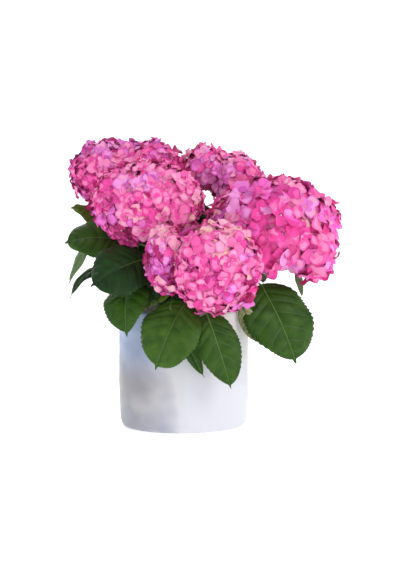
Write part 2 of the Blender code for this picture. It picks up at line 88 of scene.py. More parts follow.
SHOOTS = (
    Shoot("front", (-0.018, -0.032), (0.10, -0.90, 0.42), (
        Lobe((0.048, -0.126, 0.245), (0.065, 0.057, 0.068)),
        Lobe((-0.022, -0.110, 0.256), (0.030, 0.034, 0.052))),
        0.0185, 0.16, 0.52, (
        Leaf(0.36, (0.004, -0.091, 0.193), (-0.039, -0.146, 0.102), 0.088, (-0.10, -0.75, 0.60), 0.10),
        Leaf(0.44, (0.034, -0.108, 0.178), (0.069, -0.126, 0.071), 0.064, (0.10, -0.95, 0.25), 0.10),
        Leaf(0.30, (-0.018, -0.104, 0.186), (0.031, -0.112, 0.085), 0.028, (-0.30, -0.90, 0.25), 0.04),
        Leaf(0.30, (-0.004, -0.068, 0.214), (-0.034, -0.092, 0.184), 0.050, (-0.10, -0.80, 0.60), 0.08),
    ), 20),
    Shoot("left_front", (-0.030, 0.000), (-0.30, -0.35, 0.89), (
        Lobe((-0.053, -0.035, 0.333), (0.086, 0.062, 0.066)),),
        0.0180, 0.30, 0.56, (
        Leaf(0.50, (-0.052, -0.062, 0.254), (-0.132, -0.108, 0.216), 0.090, (-0.10, -0.80, 0.60), 0.10),
        Leaf(0.50, (-0.092, 0.004, 0.276), (-0.177, -0.010, 0.275), 0.072, (-0.05, -0.72, 0.69), 0.12),
        Leaf(0.36, (-0.078, -0.056, 0.218), (-0.080, -0.128, 0.147), 0.068, (-0.25, -0.62, 0.72), 0.14),
        Leaf(0.42, (-0.040, -0.058, 0.228), (-0.072, -0.086, 0.184), 0.056, (-0.25, -0.70, 0.65), 0.10),
    ), 60),
    Shoot("left_back", (-0.022, 0.030), (-0.35, 0.30, 0.88), (
        Lobe((-0.114, 0.085, 0.375), (0.064, 0.052, 0.052)),
        Lobe((-0.056, 0.080, 0.376), (0.059, 0.050, 0.052)),
        Lobe((-0.085, 0.082, 0.379), (0.044, 0.044, 0.049))),
        0.0185, 0.30, 0.58, (
        Leaf(0.50, (-0.138, 0.020, 0.280), (-0.173, 0.010, 0.212), 0.022, (-0.50, -0.60, 0.60), 0.04),
        Leaf(0.40, (-0.112, 0.020, 0.235), (-0.171, 0.006, 0.190), 0.030, (-0.50, -0.40, 0.76), 0.20),
        Leaf(0.53, (-0.116, 0.064, 0.300), (-0.171, 0.046, 0.326), 0.054, (-0.20, -0.45, 0.85), 0.06),
        Leaf(0.46, (-0.060, 0.042, 0.290), (-0.078, 0.026, 0.232), 0.074, (-0.10, -0.85, 0.40), 0.08),
    ), 120),
    Shoot("centre_back", (0.008, 0.034), (0.25, 0.25, 0.93), (
        Lobe((0.077, 0.086, 0.366), (0.041, 0.045, 0.042)),
        Lobe((0.034, 0.086, 0.382), (0.040, 0.045, 0.037))),
        0.0185, 0.30, 0.60, (
        Leaf(0.50, (0.046, 0.034, 0.296), (0.009, 0.034, 0.337), 0.036, (0.50, -0.70, 0.40), 0.06),
    ), 80),
    Shoot("right", (0.032, -0.004), (0.50, -0.22, 0.84), (
        Lobe((0.132, -0.025, 0.298), (0.098, 0.076, 0.075)),
        Lobe((0.179, -0.035, 0.268), (0.047, 0.052, 0.047))),
        0.0215, 0.20, 0.50, (
        Leaf(0.42, (0.114, -0.030, 0.214), (0.166, -0.062, 0.100), 0.102, (0.12, -0.80, 0.55), 0.10),
        Leaf(0.30, (0.087, -0.062, 0.184), (0.107, -0.060, 0.130), 0.026, (-0.20, -0.80, 0.50), 0.04),
        Leaf(0.44, (0.171, 0.020, 0.231), (0.179, 0.010, 0.191), 0.014, (0.50, -0.80, 0.20), 0.04),
        Leaf(0.36, (0.102, 0.024, 0.206), (0.148, 0.052, 0.124), 0.076, (0.55, 0.35, 0.70), 0.10),
    ), 45),
    Shoot("right_back", (0.032, 0.026), (0.55, 0.55, 0.62), (
        Lobe((0.128, 0.110, 0.282), (0.060, 0.056, 0.054)),),
        0.0185, 0.22, 0.55, (
        Leaf(0.40, (0.080, 0.084, 0.200), (0.120, 0.140, 0.116), 0.080, (0.50, 0.55, 0.65), 0.10),
    ), 20),
    Shoot("back", (-0.006, 0.044), (0.00, 0.90, 0.42), (
        Lobe((-0.012, 0.142, 0.254), (0.066, 0.056, 0.062)),),
        0.0185, 0.20, 0.55, (
        Leaf(0.42, (-0.045, 0.100, 0.198), (-0.074, 0.152, 0.106), 0.084, (-0.15, 0.75, 0.60), 0.10),
        Leaf(0.34, (0.040, 0.098, 0.196), (0.064, 0.142, 0.098), 0.080, (0.20, 0.80, 0.50), 0.10),
    ), 55),
)

# Leaves by the rule: in crossed pairs, with sizes for the lowest and the topmost pair.
PAIR_COUNT = 3
PAIR_STALKS = (0.044, 0.028)
PAIR_LENGTHS = (0.104, 0.070)
PAIR_PITCHES = (math.radians(-52), math.radians(-25))
PAIR_STALK_RISE = math.radians(22)
PAIR_WIDTH = 0.74
PAIR_BOW = 0.12
PAIR_REACH = (0.08, 0.74)
PAIR_JITTER = 0.12
PAIR_TURN = math.radians(9)
PAIR_SHRINK = 0.94
PAIR_ATTEMPTS = 6

GOLDEN_ANGLE = math.pi * (3 - math.sqrt(5))
FULL_TURN = 2 * math.pi
UP = np.array((0.0, 0.0, 1.0))
ASIDE = np.array((0.31, 0.87, 0.12))  # in line with nothing here
TIP_FOUND = 0.0008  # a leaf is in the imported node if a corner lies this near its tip

# ---- Fine shapes ----
LIMB_ROWS = 110
LIMB_SIDES = 16
NODE_SWELL = 0.28
NODE_WIDTH = 0.012
WOODY_SHARE = 0.8  # of the bare length
RIDGES = ((5, 0.045, 0.7, 2.0), (9, 0.025, 2.1, -3.0))  # round, depth, phase, turns along

BLADE_ROWS = 77
ROWS_A_TOOTH = 3
BLADE_COLUMNS = (0.05, 0.16, 0.30, 0.46, 0.62, 0.77, 0.89, 1.0)  # and the same on the left
BLADE_ENDS = (0.006, 0.998)  # shares of the length where the first and last row lie
ROW_CROWDING = 0.09  # towards both ends of the blade
TOOTH_DEPTH = 0.026  # share of the blade's half-width
TOOTH_BEND = 8  # how near the margin a tooth starts
BLADE_SHEET = 0.0006
SHEET_THINNING = 0.6  # towards the margin
FOOT_ROUNDNESS = 0.50  # of the blade's foot
OVAL_END = 0.95  # share of the length where the oval ends and the point takes over
POINT_LENGTH = 0.14
POINT_WIDTH = 0.13  # of the blade's half-width
VEIN_FIRST = 5  # row along which the first side vein runs, then every VEIN_ROWS
VEIN_ROWS = 9
VEIN_COUNT = 7
VEIN_SWEEP = 0.22  # how far side veins run forward, as a share of the length
VEIN_BEND = 1.15
SWEEP_ROOM = (0.10, 0.42)  # shares of the length where it grows and dies away
VEIN_RISE = 0.00045
VEIN_WIDTHS = (0.00022, 0.00060)  # at the margin, and what the midrib's end adds
MIDRIB_WIDTHS = (0.0003, 0.0013)  # at the tip, and what the foot adds
FULL_WIDTH = 0.06  # of a blade whose veins are full size
QUILT = 0.0016
QUILT_EDGE = 5  # how steeply it starts at the midrib and ends at the margin
QUILT_ROOM = 0.02  # half-width where it is full
MIDRIB_GROOVE = 0.0009
GROOVE_WIDTH = 0.0018
MARGIN_WAVE = 0.035
MARGIN_WAVES = 2.3
MARGIN_SHIFT = 1.9  # between the waves of both sides
MARGIN_BEND = 2.2  # how a wave grows towards the margin
RIB_SHARES = (STALK_SUNK, 0.38, 0.62, 0.86)  # of the blade, where the stalk runs on
RIB_TAPER = (1.55, 1.05, 0.95, 0.62, 0.45, 0.28, 0.12)  # from the stem, of STALK_RADIUS
RIB_DEPTH = 1.1  # of half the blade's thickness, under its middle
RIB_STEPS = 26
RIB_SIDES = 8

SEPAL_ROWS = (0.12, 0.34, 0.54, 0.72, 0.88, 1.0)
SEPAL_COLUMNS = 11
SEPAL_CENTRE = 0.53  # of its round blade, as a share of its length
SEPAL_ROUND = 0.47
SEPAL_TURN = math.radians(112)
SEPAL_WAVES = (3, 5, 3.4)  # across it: of its pointing, its notching and its ripple
SEPAL_POINTING = (-0.07, 0.09)  # from here on, the least and the most of each
SEPAL_NOTCHING = (0.02, 0.07)
SEPAL_LENGTHS = (0.92, 1.08)
SEPAL_WIDTHS = (0.90, 1.12)
SEPAL_RISE = (0.02, 0.62)
SEPAL_DROOP = (-0.65, -0.12)
SEPAL_CUP = (-0.7, 0.9)
SEPAL_RIPPLE = (0.05, 0.14)
SEPAL_PHASE = (0, 6.28)
SEPAL_SIZES = (0.92, 1.06)
SEPAL_STRAY = 0.09  # from square, in radians
SEPAL_LIFTS = (0.05, 0.02)  # of the two that lie over the others, and of all
FLORET_SPACING = 1.08  # between neighbours, as a share of a floret's radius
HEX_PACKING = 0.866
THOMSEN_POWER = 1.6075  # in the rule for an ellipsoid's surface
FLORET_SCALE = 0.97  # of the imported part's florets, which are fewer
FLORET_SIZES = (0.86, 1.10)
FLORET_STRAY = 0.045
FLORET_SUNK = (0.22, 0.09)  # of its radius, and by chance, of the lobe's
FLORET_TILT = 0.18
TILT_LIMIT = 1.5  # of the tilt
LOBE_MEETING = 0.86  # florets deeper than this in another lobe are left out
RUFFLED = ("right",)  # blooms with larger, frilled sepals
RUFFLED_TILT = 0.22
RUFFLED_WAVE = 1.15
RUFFLED_GROWTH = 1.16
RUFFLED_CONTRAST = 0.60

BEAD_RINGS = ((0.35, 0.92), (0.80, 0.55), (1.0, 0.05), (0.85, -0.5))  # reach and rise
BEAD_SIDES = 6
BEAD_TIP = ((0, 1, 2, 3), (0, 3, 4, 5))
BEAD_SIZE = 0.085  # of its floret's radius
BEAD_SEAT = 0.06

HEART_SHARE = 0.84  # of the lobe
HEART_RINGS = 18
HEART_SIDES = 28
HEART_POLE = 0.06  # radians from a pole to the ring next to it
HEART_LUMPS = (0.05, 9, 5, 7)  # depth, round, twist, down
PEDICEL_ROOT = 0.74  # where it starts, as a share of the way to its floret
PEDICEL_BEND = 0.05
PEDICEL_RADIUS = 0.0007
PEDICEL_STEPS = 5
PEDICEL_SIDES = 5

POT_SIDES = 180
UNDERSIDE_ROWS = 9
SIDE_ROWS = 46
SIDE_EASE = (0.30, 2.2)  # share of the height over which it widens, and how quickly
FOOT_ROUND = 0.007
FOOT_STEPS = 7
LIP_STEPS = 9
INSIDE_MIDDLE = 0.55  # share of the height down to which the inside is straight
INSIDE_BEND = (0.0010, 0.030)  # how far the wall draws in, and how high above the floor
FLOOR_INSET = 0.006
# The hand's own waves: how many round, turns from foot to rim, phase, depth.
HAND_WAVES = ((3, 2.4, 0.9, 0.00035), (7, 1.3, 3.1, 0.00022), (11, 3.6, 5.0, 0.00012),
              (2, 6.2, 1.7, 0.00025))

MIX_RINGS = 40
MIX_SPOKES = 110
MIX_START = 0.02  # share of the way out to its first ring
MIX_GAP = 0.0005
MIX_SINK = 0.0008
MIX_RELIEF = 0.0035
MIX_GRIT = 0.0006
MIX_LUMPS = (0.22, 190, 230)  # height, and waves along x and y
MIX_FINE_LUMPS = (0.6, 410, 370)  # the same, as a share of the others
MIX_FOOT = POT_FLOOR + 0.0006
# Heights and radii of the rings under its top, down to its foot.
MIX_SIDE = ((MIX_TOP - 0.02, POT_RADIUS - POT_WALL - MIX_GAP),
            (POT_FLOOR + 0.031, POT_RADIUS - POT_WALL - MIX_GAP - 0.0035), (MIX_FOOT, 0.080))
CHIPS = 260
CHIP_SIZE = (0.0020, 0.0052)
CHIP_WIDTH = (0.5, 0.8)
CHIP_HEIGHT = 0.35
CHIP_WEAR = (0.75, 1.0)
CHIP_LEAN = 0.4
CHIP_INSET = 0.008
CHIP_SUNK = 0.0016
BOX = np.array([(x, y, z) for z in (-1, 1) for y in (-1, 1) for x in (-1, 1)]) / 2
BOX_FACES = ((0, 2, 3, 1), (4, 5, 7, 6), (0, 1, 5, 4), (2, 6, 7, 3), (0, 4, 6, 2), (1, 3, 7, 5))

# ---- Colours: linear ----
# Each petal tone, and its paler and its deeper neighbour.
PETAL_TONES = {
    "wine": ((0.200, 0.012, 0.065), "deep", "wine"),
    "deep": ((0.430, 0.022, 0.150), "magenta", "wine"),
    "magenta": ((0.640, 0.048, 0.290), "pink", "deep"),
    "hot": ((0.820, 0.066, 0.355), "rose", "magenta"),
    "pink": ((0.850, 0.115, 0.405), "light", "hot"),
    "rose": ((0.860, 0.175, 0.445), "light", "hot"),
    "light": ((0.890, 0.255, 0.520), "pale", "pink"),
    "pale": ((0.910, 0.360, 0.570), "blush", "rose"),
    "blush": ((0.910, 0.420, 0.530), "cream", "light"),
    "cream": ((0.880, 0.480, 0.460), "cream", "blush"),
    "purple": ((0.580, 0.090, 0.420), "lilac", "magenta"),
    "lilac": ((0.760, 0.170, 0.570), "mist", "purple"),
    "mist": ((0.850, 0.300, 0.680), "pale", "lilac"),
    "orchid": ((0.880, 0.140, 0.560), "mist", "hot"),
}
TONES = list(PETAL_TONES)
PALER = np.array([TONES.index(paler) for _, paler, _ in PETAL_TONES.values()])
DEEPER = np.array([TONES.index(deeper) for _, _, deeper in PETAL_TONES.values()])
TONE_SHIFT = 0.15  # share of sepals a step paler than their floret, and of deeper ones
# Part of a sepal in its neighbour's tone: share of sepals, rows, columns, which neighbour. These parts are
# partly the sepals' own tone and partly painted light: a painted highlight in the middle, painted shade
# along the rim and where the sepal meets the floret's middle.
SEPAL_TINT_AND_SHADE_PARTS = (
    (0.60, slice(2, 4), slice(3, 7), PALER),  # the middle: partly a painted highlight
    (0.48, slice(4, 5), slice(0, 10), DEEPER),  # along the rim: partly painted shade
    (0.50, slice(0, 2), slice(0, 10), DEEPER),  # towards the floret's middle: partly painted shade
)
BEAD_TONES = [TONES.index(tone) for tone in ("blush", "pale", "mist", "light", "cream")]
HEART = (0.460, 0.040, 0.170)  # seen between the florets
PEDICEL = (0.32, 0.26, 0.12)

# How often each tone comes up on a bloom.
BLOOM_TONES = {
    "front": dict(hot=3, pink=7, rose=8, light=6, pale=2, lilac=2),
    "left_front": dict(magenta=2, hot=6, pink=9, rose=7, light=3, lilac=1),
    "left_back": dict(magenta=5, purple=5, pink=3, rose=3, lilac=6, mist=1),
    # Many light tones: partly painted light, for a bloom that lies in its neighbours' shade.
    "centre_back": dict(pink=2, rose=5, light=8, pale=2, orchid=6, mist=4),
    "right": dict(hot=10, pink=12, rose=4, orchid=8),
    "right_back": dict(magenta=2, hot=4, pink=6, rose=5, lilac=2, light=2),
    "back": dict(magenta=2, hot=3, pink=6, rose=6, lilac=2, light=3),
}
PATCH_ODDS = 1.15  # of a tone's turning at its patch's place itself
# Where a bloom's tones turn: the place, how far round it they reach, and the tones there. Most follow the
# bloom's own tones; the small deep ones beside the hollows are painted shade, and some lighter ones are
# painted light where a part lies in shade or faces the key light.
TONE_AND_PAINTED_LIGHT_PATCHES = {
    "left_back": (
        # Painted shade: a deep spot where the bloom lies in shadow between its florets.
        ((-0.14, 0.04, 0.385), 0.016, "deep hot magenta"),
        ((-0.18, 0.08, 0.37), 0.035, "lilac purple mist"),
        ((-0.15, 0.05, 0.335), 0.030, "magenta purple lilac"),
        # Painted light: lighter tones where the top of this bloom faces away and lies in shade.
        ((-0.11, 0.03, 0.41), 0.034, "lilac mist rose light"),
        ((-0.05, 0.03, 0.41), 0.032, "hot pink rose"),
    ),
    "left_front": (
        ((-0.065, -0.08, 0.37), 0.032, "lilac mist rose pink"),
        # Partly a painted highlight: lighter tones on the side towards the key light.
        ((0.0, -0.06, 0.35), 0.045, "light rose pale light pink"),
        # Painted shade: deep tones round the hollow at this bloom's eye.
        ((-0.057, -0.095, 0.354), 0.014, "deep magenta"),
        ((-0.085, -0.09, 0.33), 0.032, "light pale rose pink"),
        ((-0.125, -0.06, 0.305), 0.040, "magenta hot lilac"),
        ((-0.075, -0.06, 0.285), 0.036, "magenta hot deep magenta"),
        ((0.01, -0.04, 0.31), 0.022, "hot rose light"),
        # Painted light: lighter tones where this part lies in the shade of the blooms beside it.
        ((-0.010, -0.075, 0.298), 0.030, "light pale mist rose"),
    ),
    "front": (
        # Painted light: lighter tones on the top of this lobe, which lies in the other bloom's shade.
        ((-0.012, -0.13, 0.305), 0.032, "mist pale light pale"),
        ((-0.012, -0.13, 0.245), 0.024, "magenta hot purple deep"),
        ((-0.045, -0.13, 0.235), 0.034, "lilac purple rose lilac"),
        ((-0.038, -0.125, 0.262), 0.026, "lilac purple magenta lilac"),
        # Painted light: lighter tones on the top of this lobe, which lies in the other bloom's shade.
        ((-0.028, -0.122, 0.295), 0.024, "mist pale light blush"),
        # Painted shade: deep tones in the crease between the two lobes.
        ((-0.024, -0.136, 0.270), 0.010, "deep magenta"),
        ((0.055, -0.145, 0.293), 0.044, "blush rose blush pale cream blush light"),
        ((0.082, -0.165, 0.240), 0.014, "cream blush"),
        ((0.008, -0.165, 0.255), 0.020, "magenta hot rose"),
        ((0.02, -0.175, 0.223), 0.018, "mist pale light"),
        ((0.046, -0.18, 0.235), 0.020, "hot magenta pink"),
        ((0.056, -0.14, 0.186), 0.030, "pale light rose"),
        ((0.100, -0.15, 0.215), 0.026, "hot rose magenta"),
        ((-0.004, -0.14, 0.205), 0.022, "lilac purple pink"),
    ),
    "centre_back": (
        ((0.05, 0.05, 0.405), 0.020, "hot magenta pink"),
        ((0.048, 0.04, 0.365), 0.032, "lilac mist lilac mist"),
        ((0.095, 0.05, 0.375), 0.034, "rose light lilac mist"),
    ),
    "right": (
        # Partly painted light: lighter tones on this bloom's upper left, which lies in shade.
        ((0.08, -0.06, 0.34), 0.044, "lilac orchid light mist orchid"),
        ((0.075, -0.08, 0.295), 0.030, "rose light pink mist"),
        # Partly painted light: lighter tones on this bloom's left, which lies in shade.
        ((0.050, -0.06, 0.315), 0.036, "mist pale light lilac"),
        # Painted shade: deep tones round the hollows at the eye and the fold, on this line and the next.
        ((0.100, -0.095, 0.318), 0.010, "hot magenta"),
        ((0.094, -0.088, 0.262), 0.012, "deep magenta"),
        ((0.165, -0.07, 0.345), 0.036, "rose light hot"),
        ((0.182, -0.08, 0.315), 0.018, "pale mist blush"),
        ((0.22, -0.02, 0.295), 0.040, "rose orchid light pink"),
        ((0.135, -0.09, 0.262), 0.042, "hot pink hot orchid"),
        # Painted shade: deep tones round the hollow below.
        ((0.174, -0.08, 0.253), 0.014, "deep hot"),
        ((0.157, -0.05, 0.23), 0.024, "magenta orchid pink"),
    ),
}
# Hollows in a bloom, where no floret stands: the place and how far round it they reach.
HOLLOWS = {
    "front": (((-0.016, -0.145, 0.277), 0.010), ((-0.019, -0.145, 0.260), 0.008),
              ((-0.022, -0.145, 0.243), 0.009), ((-0.022, -0.140, 0.225), 0.012)),
    "left_front": (((-0.066, -0.095, 0.354), 0.006), ((-0.104, -0.080, 0.345), 0.006)),
    "right": (((0.099, -0.095, 0.321), 0.009), ((0.091, -0.085, 0.256), 0.007),
              ((0.097, -0.090, 0.269), 0.007), ((0.175, -0.070, 0.252), 0.006)),
}

# The ends of each leaf tone's range.
LEAF_TONES = {
    # dark: the darkest green, partly the leaves' own tone and partly painted shade on leaves placed where
    # the blooms shade them.
    "dark": ((0.004, 0.022, 0.003), (0.012, 0.048, 0.006)),
    "green": ((0.014, 0.054, 0.003), (0.038, 0.100, 0.006)),
    "fresh": ((0.060, 0.120, 0.010), (0.110, 0.185, 0.018)),
    "under": ((0.110, 0.180, 0.075), (0.150, 0.230, 0.100)),
    # bright: a lighter green, partly painted light for a leaf that lies in a bloom's shade.
    "bright": ((0.022, 0.072, 0.005), (0.054, 0.125, 0.012)),
    "straw": ((0.150, 0.200, 0.070), (0.350, 0.330, 0.180)),
}
# Each kind of vein is followed by its midrib.
GREENS = {
    "vein": (0.036, 0.105, 0.014),
    "midrib": (0.090, 0.215, 0.036),
    "leafstalk": (0.120, 0.210, 0.050),
    "dark_vein": (0.012, 0.044, 0.008),
    "dark_midrib": (0.018, 0.060, 0.011),
}
GREEN_BARK = (0.120, 0.170, 0.055)
LEAF_SLOTS = [*LEAF_TONES, *GREENS]
RULE_TONES, RULE_ODDS = ("dark", "green", "fresh"), (0.50, 0.38, 0.12)
RULE_TIPS = (0.45, 0.68)
# slot: of the upper side's tone. tips: how blunt the left and the right of its tip are,
# from 0.4, the bluntest. phase: of the margin's waves.
Look = namedtuple("Look", "slot tips phase")
# Tones and tips of the leaves in each shoot's own list, in its order.
LEAF_LOOKS = {
    "front": (("bright", (0.42, 0.62)), ("green", (0.58, 0.80)), ("green", (0.7, 0.7)),
              ("dark", (0.60, 0.60))),
    "left_front": (("dark", (0.42, 0.70)), ("green", (0.60, 0.60)), ("green", (0.75, 0.65)),
                   ("dark", (0.60, 0.60))),
    "left_back": (("under", (0.8, 0.8)), ("dark", (0.8, 0.8)), ("fresh", (0.6, 0.6)),
                  ("dark", (0.60, 0.60))),
    "centre_back": (("dark", (0.6, 0.6)),),
    "right": (("green", (0.46, 0.70)), ("straw", (0.7, 0.7)), ("under", (0.8, 0.8)),
              ("green", (0.50, 0.55))),
    "right_back": (("green", (0.55, 0.50)),),
    "back": (("green", (0.5, 0.6)), ("dark", (0.6, 0.5))),
}

GLAZE = (0.72, 0.74, 0.79)
BROWN_BARK = (0.16, 0.12, 0.06)
CRUMB = (0.05, 0.035, 0.025)
GREEN_SHADE = 0.75  # of a green's own colour, where it is darkest
# Noise: scale, detail, roughness, stretch.
LEAF_GRAIN = (60, 4.0)
GREEN_GRAIN = (220,)
GLAZE_DRIFTS = (15, 2.5, 0.45, (1, 1, 1.25))
BARK_GRAIN = (160, 5.0, 0.65, (1, 1, 0.22))
MIX_GRAIN = (330, 6.0, 0.7)
GRAIN_ENDS = (0.3, 0.7)  # of a noise, between which a finish changes
# Relief: its noise, its depth and its strength.
PETAL_BUMPS = ((520, 2.0), 0.00035, 0.5)
HEART_BUMPS = ((260,), 0.002, 0.8)
LEAF_BUMPS = ((900,), 0.00025, 0.6)
GREEN_BUMPS = ((700, 2.0), 0.0002, 0.5)
BARK_BUMPS = (BARK_GRAIN, 0.0008, 0.8)
MIX_BUMPS = (MIX_GRAIN, 0.002, 1.0)
GLAZE_BUMPS = ((120, 4.0), 0.0004, 0.35)
# Roughness: its noise, the least and the most.
LEAF_GLOSS = ((140,), 0.36, 0.56)
GLAZE_GLOSS = ((45, 4.0), 0.34, 0.52)
# Colours by their place along a value from 0 to 1: the grain, the glaze's drift with its painted shade, or
# the height.
BARK = ((0.25, (0.060, 0.042, 0.024)), (0.50, (0.150, 0.115, 0.058)), (0.75, (0.240, 0.205, 0.120)))
MIX = ((0.30, (0.014, 0.010, 0.007)), (0.55, (0.050, 0.034, 0.022)), (0.78, (0.130, 0.092, 0.060)))
# The glaze along its drift and its painted shade: the darker stops are partly the glaze's own uneven tone,
# partly painted shade on the side away from the key light.
GLAZE_DRIFT_AND_PAINTED_SHADE = ((0.27, (0.32, 0.34, 0.44)), (0.36, (0.43, 0.45, 0.56)), (0.47, (0.65, 0.66, 0.72)),
               (0.60, (0.66, 0.67, 0.73)))
# Painted reflections and shade on the shaded side, by height: warm and darker low down, a cool sky
# reflection towards the top.
GLAZE_SHADED_SIDE_REFLECTIONS = ((0.0, (0.90, 0.86, 0.78)), (0.22, (0.86, 0.80, 0.70)), (0.42, (0.79, 0.72, 0.61)),
              (0.66, (0.69, 0.79, 0.89)), (1.0, (0.66, 0.80, 0.95)))
# Painted reflection on the lit side, by height: warm towards the top, from the leaves and blooms over it.
GLAZE_LIT_SIDE_REFLECTIONS = ((0.42, (1.0, 1.0, 1.0)), (0.60, (1.0, 0.995, 0.95)), (0.80, (1.0, 0.955, 0.87)),
              (1.0, (1.0, 0.94, 0.84)))
PAINTED_SHADE_SIDE = (-0.82, -0.57, 0.0)  # the side of the painted shade, away from the key light, where the glaze is painted greyest
# The two ends of a value, and of what it follows: a noise, or how far on the shaded side. The lean is
# painted shade, darker towards the side away from the key light; the last span blends the painted
# reflections of the two sides.
DRIFT_SPAN = (0.38, 0.62, 0.25, 0.75)
PAINTED_SHADE_LEAN = (0.02, -0.20, 0.55 * POT_RADIUS, POT_RADIUS)
SHADED_SPAN = (0.0, 1.0, 0.5 * POT_RADIUS, 0.95 * POT_RADIUS)

# ---- Stage, lights and camera ----
FLOOR_REACH = 300.0
BACKDROP_START, BACKDROP_SWEEP, BACKDROP_TOP, BACKDROP_REACH = 2.2, 1.2, 5.0, 6.0
BACKDROP_LIFT = 0.0005  # over the floor
BACKDROP_ROWS = 16
STUDIO_WHITE, STUDIO_GLOW = (0.92, 0.92, 0.92), 0.45
WALL_REACH, WALL_RISE, WALL_COLUMNS = 7.5, 2.6, 49
SKY, SKY_STRENGTH = (0.94, 0.97, 1.0, 1.0), 0.54
LIGHTS_AIM = (0.0, 0.0, 0.22)
LIGHTS = (  # name, place, width, watts, colour
    ("key", (1.5, -1.5, 1.6), 1.0, 18.5, (1.0, 0.985, 0.96)),
    ("fill", (-1.6, -1.2, 1.5), 1.4, 4.2, (0.95, 0.97, 1.0)),
    ("rim", (-0.3, 1.4, 1.8), 1.2, 17, (1.0, 1.0, 1.0)),
)
CAMERA_AIM = (0.0248, 0.0, 0.2102)
CAMERA_DISTANCE = 2.4
CAMERA_RISE = math.radians(4.5)
FOCAL_PIXELS = 1600
FRAME_HEIGHT = 570
SENSOR = 36.0


def unit(vector):
    vector = np.asarray(vector, float)
    return vector / np.linalg.norm(vector, axis=-1, keepdims=True)


def between(ends, share):
    return ends[0] + (ends[1] - ends[0]) * share


def around(count):
    """Angles of points spread evenly round a ring."""
    return FULL_TURN * np.arange(count) / count


def ring_at(angles, reach, z):
    """Points round the upright axis, at a height."""
    return np.column_stack((np.cos(angles) * reach, np.sin(angles) * reach, np.full(len(angles), z)))


def beside(directions):
    """Two directions square to each given one and to each other."""
    first = unit(np.cross(directions, ASIDE))
    return first, np.cross(directions, first)


def turned_by(angles, first, second):
    """Directions that lie at angles from the first towards the second."""
    return np.cos(angles)[..., None] * first + np.sin(angles)[..., None] * second


# ---- The shoots' rule ----
def shoot_point(shoot, share):
    """A point on the shoot's curve: straight up at first, then in line with its bloom."""
    foot = np.array((*shoot.foot, MIX_TOP + CLEARANCE))
    head = np.asarray(shoot.lobes[0].centre)
    rising = foot + UP * STEM_RISES * (head[2] - foot[2])
    leading = head - unit(shoot.facing) * BLOOM_LEAD
    away = 1 - share
    low = away ** 3 * foot + 3 * away ** 2 * share * rising
    return low + 3 * away * share ** 2 * leading + share ** 3 * head


def shoot_radius(share):
    taper = STEM_RADIUS + (NECK_RADIUS - STEM_RADIUS) * share
    flare = max(0.0, 1 - share / FLARE_SHARE)
    return taper + (STEM_FOOT_RADIUS - STEM_RADIUS) * flare ** 2


def rule_leaf(shoot, pair, side, attempt, rng):
    """One leaf of a pair. Each attempt turns further from its heading and is smaller."""
    level = pair / (PAIR_COUNT - 1)
    at = between((shoot.bare, shoot.neck), between(PAIR_REACH, level))
    turn = PAIR_TURN * (1 + attempt) * rng.uniform(-1, 1)
    heading = math.radians(shoot.heading + 90 * pair + 180 * side) + turn
    size = (1 + PAIR_JITTER * rng.uniform(-1, 1)) * PAIR_SHRINK ** attempt
    pitch = between(PAIR_PITCHES, level) * (1 + 2 * PAIR_JITTER * rng.uniform(-1, 1))
    out = np.array((math.cos(heading), math.sin(heading), 0.0))
    stalk = between(PAIR_STALKS, level) * size
    length = between(PAIR_LENGTHS, level) * size
    rise = out * math.cos(PAIR_STALK_RISE) + UP * math.sin(PAIR_STALK_RISE)
    base = shoot_point(shoot, at) + stalk * rise
    tip = base + length * (out * math.cos(pitch) + UP * math.sin(pitch))
    face = out * math.sin(-pitch) + UP * math.cos(pitch)
    return Leaf(at, base, tip, length * PAIR_WIDTH, face, PAIR_BOW)


def packed_corners(name):
    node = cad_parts[name]
    corners = np.empty(len(node.data.vertices) * 3)
    node.data.vertices.foreach_get("co", corners)
    matrix = np.array(node.matrix_world)
    return corners.reshape(-1, 3) @ matrix[:3, :3].T + matrix[:3, 3]


def packed_leaves():
    """The leaves that each packed leafy length holds, by shoot name."""
    corners = {shoot.name: packed_corners("leaves_" + shoot.name) for shoot in SHOOTS}

    def is_packed(shoot, leaf):
        return np.linalg.norm(corners[shoot.name] - leaf.tip, axis=1).min() < TIP_FOUND

    held = {shoot.name: [leaf for leaf in shoot.leaves if is_packed(shoot, leaf)] for shoot in SHOOTS}
    rng = np.random.default_rng(SEED)
    for shoot in SHOOTS:
        for pair in range(PAIR_COUNT):
            for side in range(2):
                for attempt in range(PAIR_ATTEMPTS):
                    leaf = rule_leaf(shoot, pair, side, attempt, rng)
                    if is_packed(shoot, leaf):
                        held[shoot.name].append(leaf)
                        break
    return held


# ---- Meshes from arrays ----
def add_object(name, data):
    """A new object in the scene."""
    thing = bpy.data.objects.new(name, data)
    bpy.context.scene.collection.objects.link(thing)
    return thing


def grid_faces(rows, columns, wrap=False):
    """Quads of a grid of points, in rows. wrap joins the last column to the first."""
    row = np.arange(rows - 1)[:, None] * columns
    column = np.arange(columns if wrap else columns - 1)[None, :]
    ahead = (column + 1) % columns
    corners = (row + column, row + ahead, row + columns + ahead, row + columns + column)
    shape = (rows - 1, column.shape[1])
    return np.stack([np.broadcast_to(corner, shape).ravel() for corner in corners], 1)


def sheet_faces(rows, columns):
    """Quads of two grids of points, the upper and the lower, and along their rim."""
    upper = grid_faces(rows, columns)
    size = rows * columns
    index = np.arange(size).reshape(rows, columns)
    rim = np.concatenate((index[0, :-1], index[:-1, -1], index[-1, :0:-1], index[:0:-1, 0]))
    ahead = np.roll(rim, -1)
    return upper, upper[:, ::-1] + size, np.stack((ahead, rim, rim + size, ahead + size), 1)


def copies(pattern, count, size):
    """The faces of count shapes in a row, of size points each."""
    return (pattern[None] + (np.arange(count) * size)[:, None, None]).reshape(-1, 4)


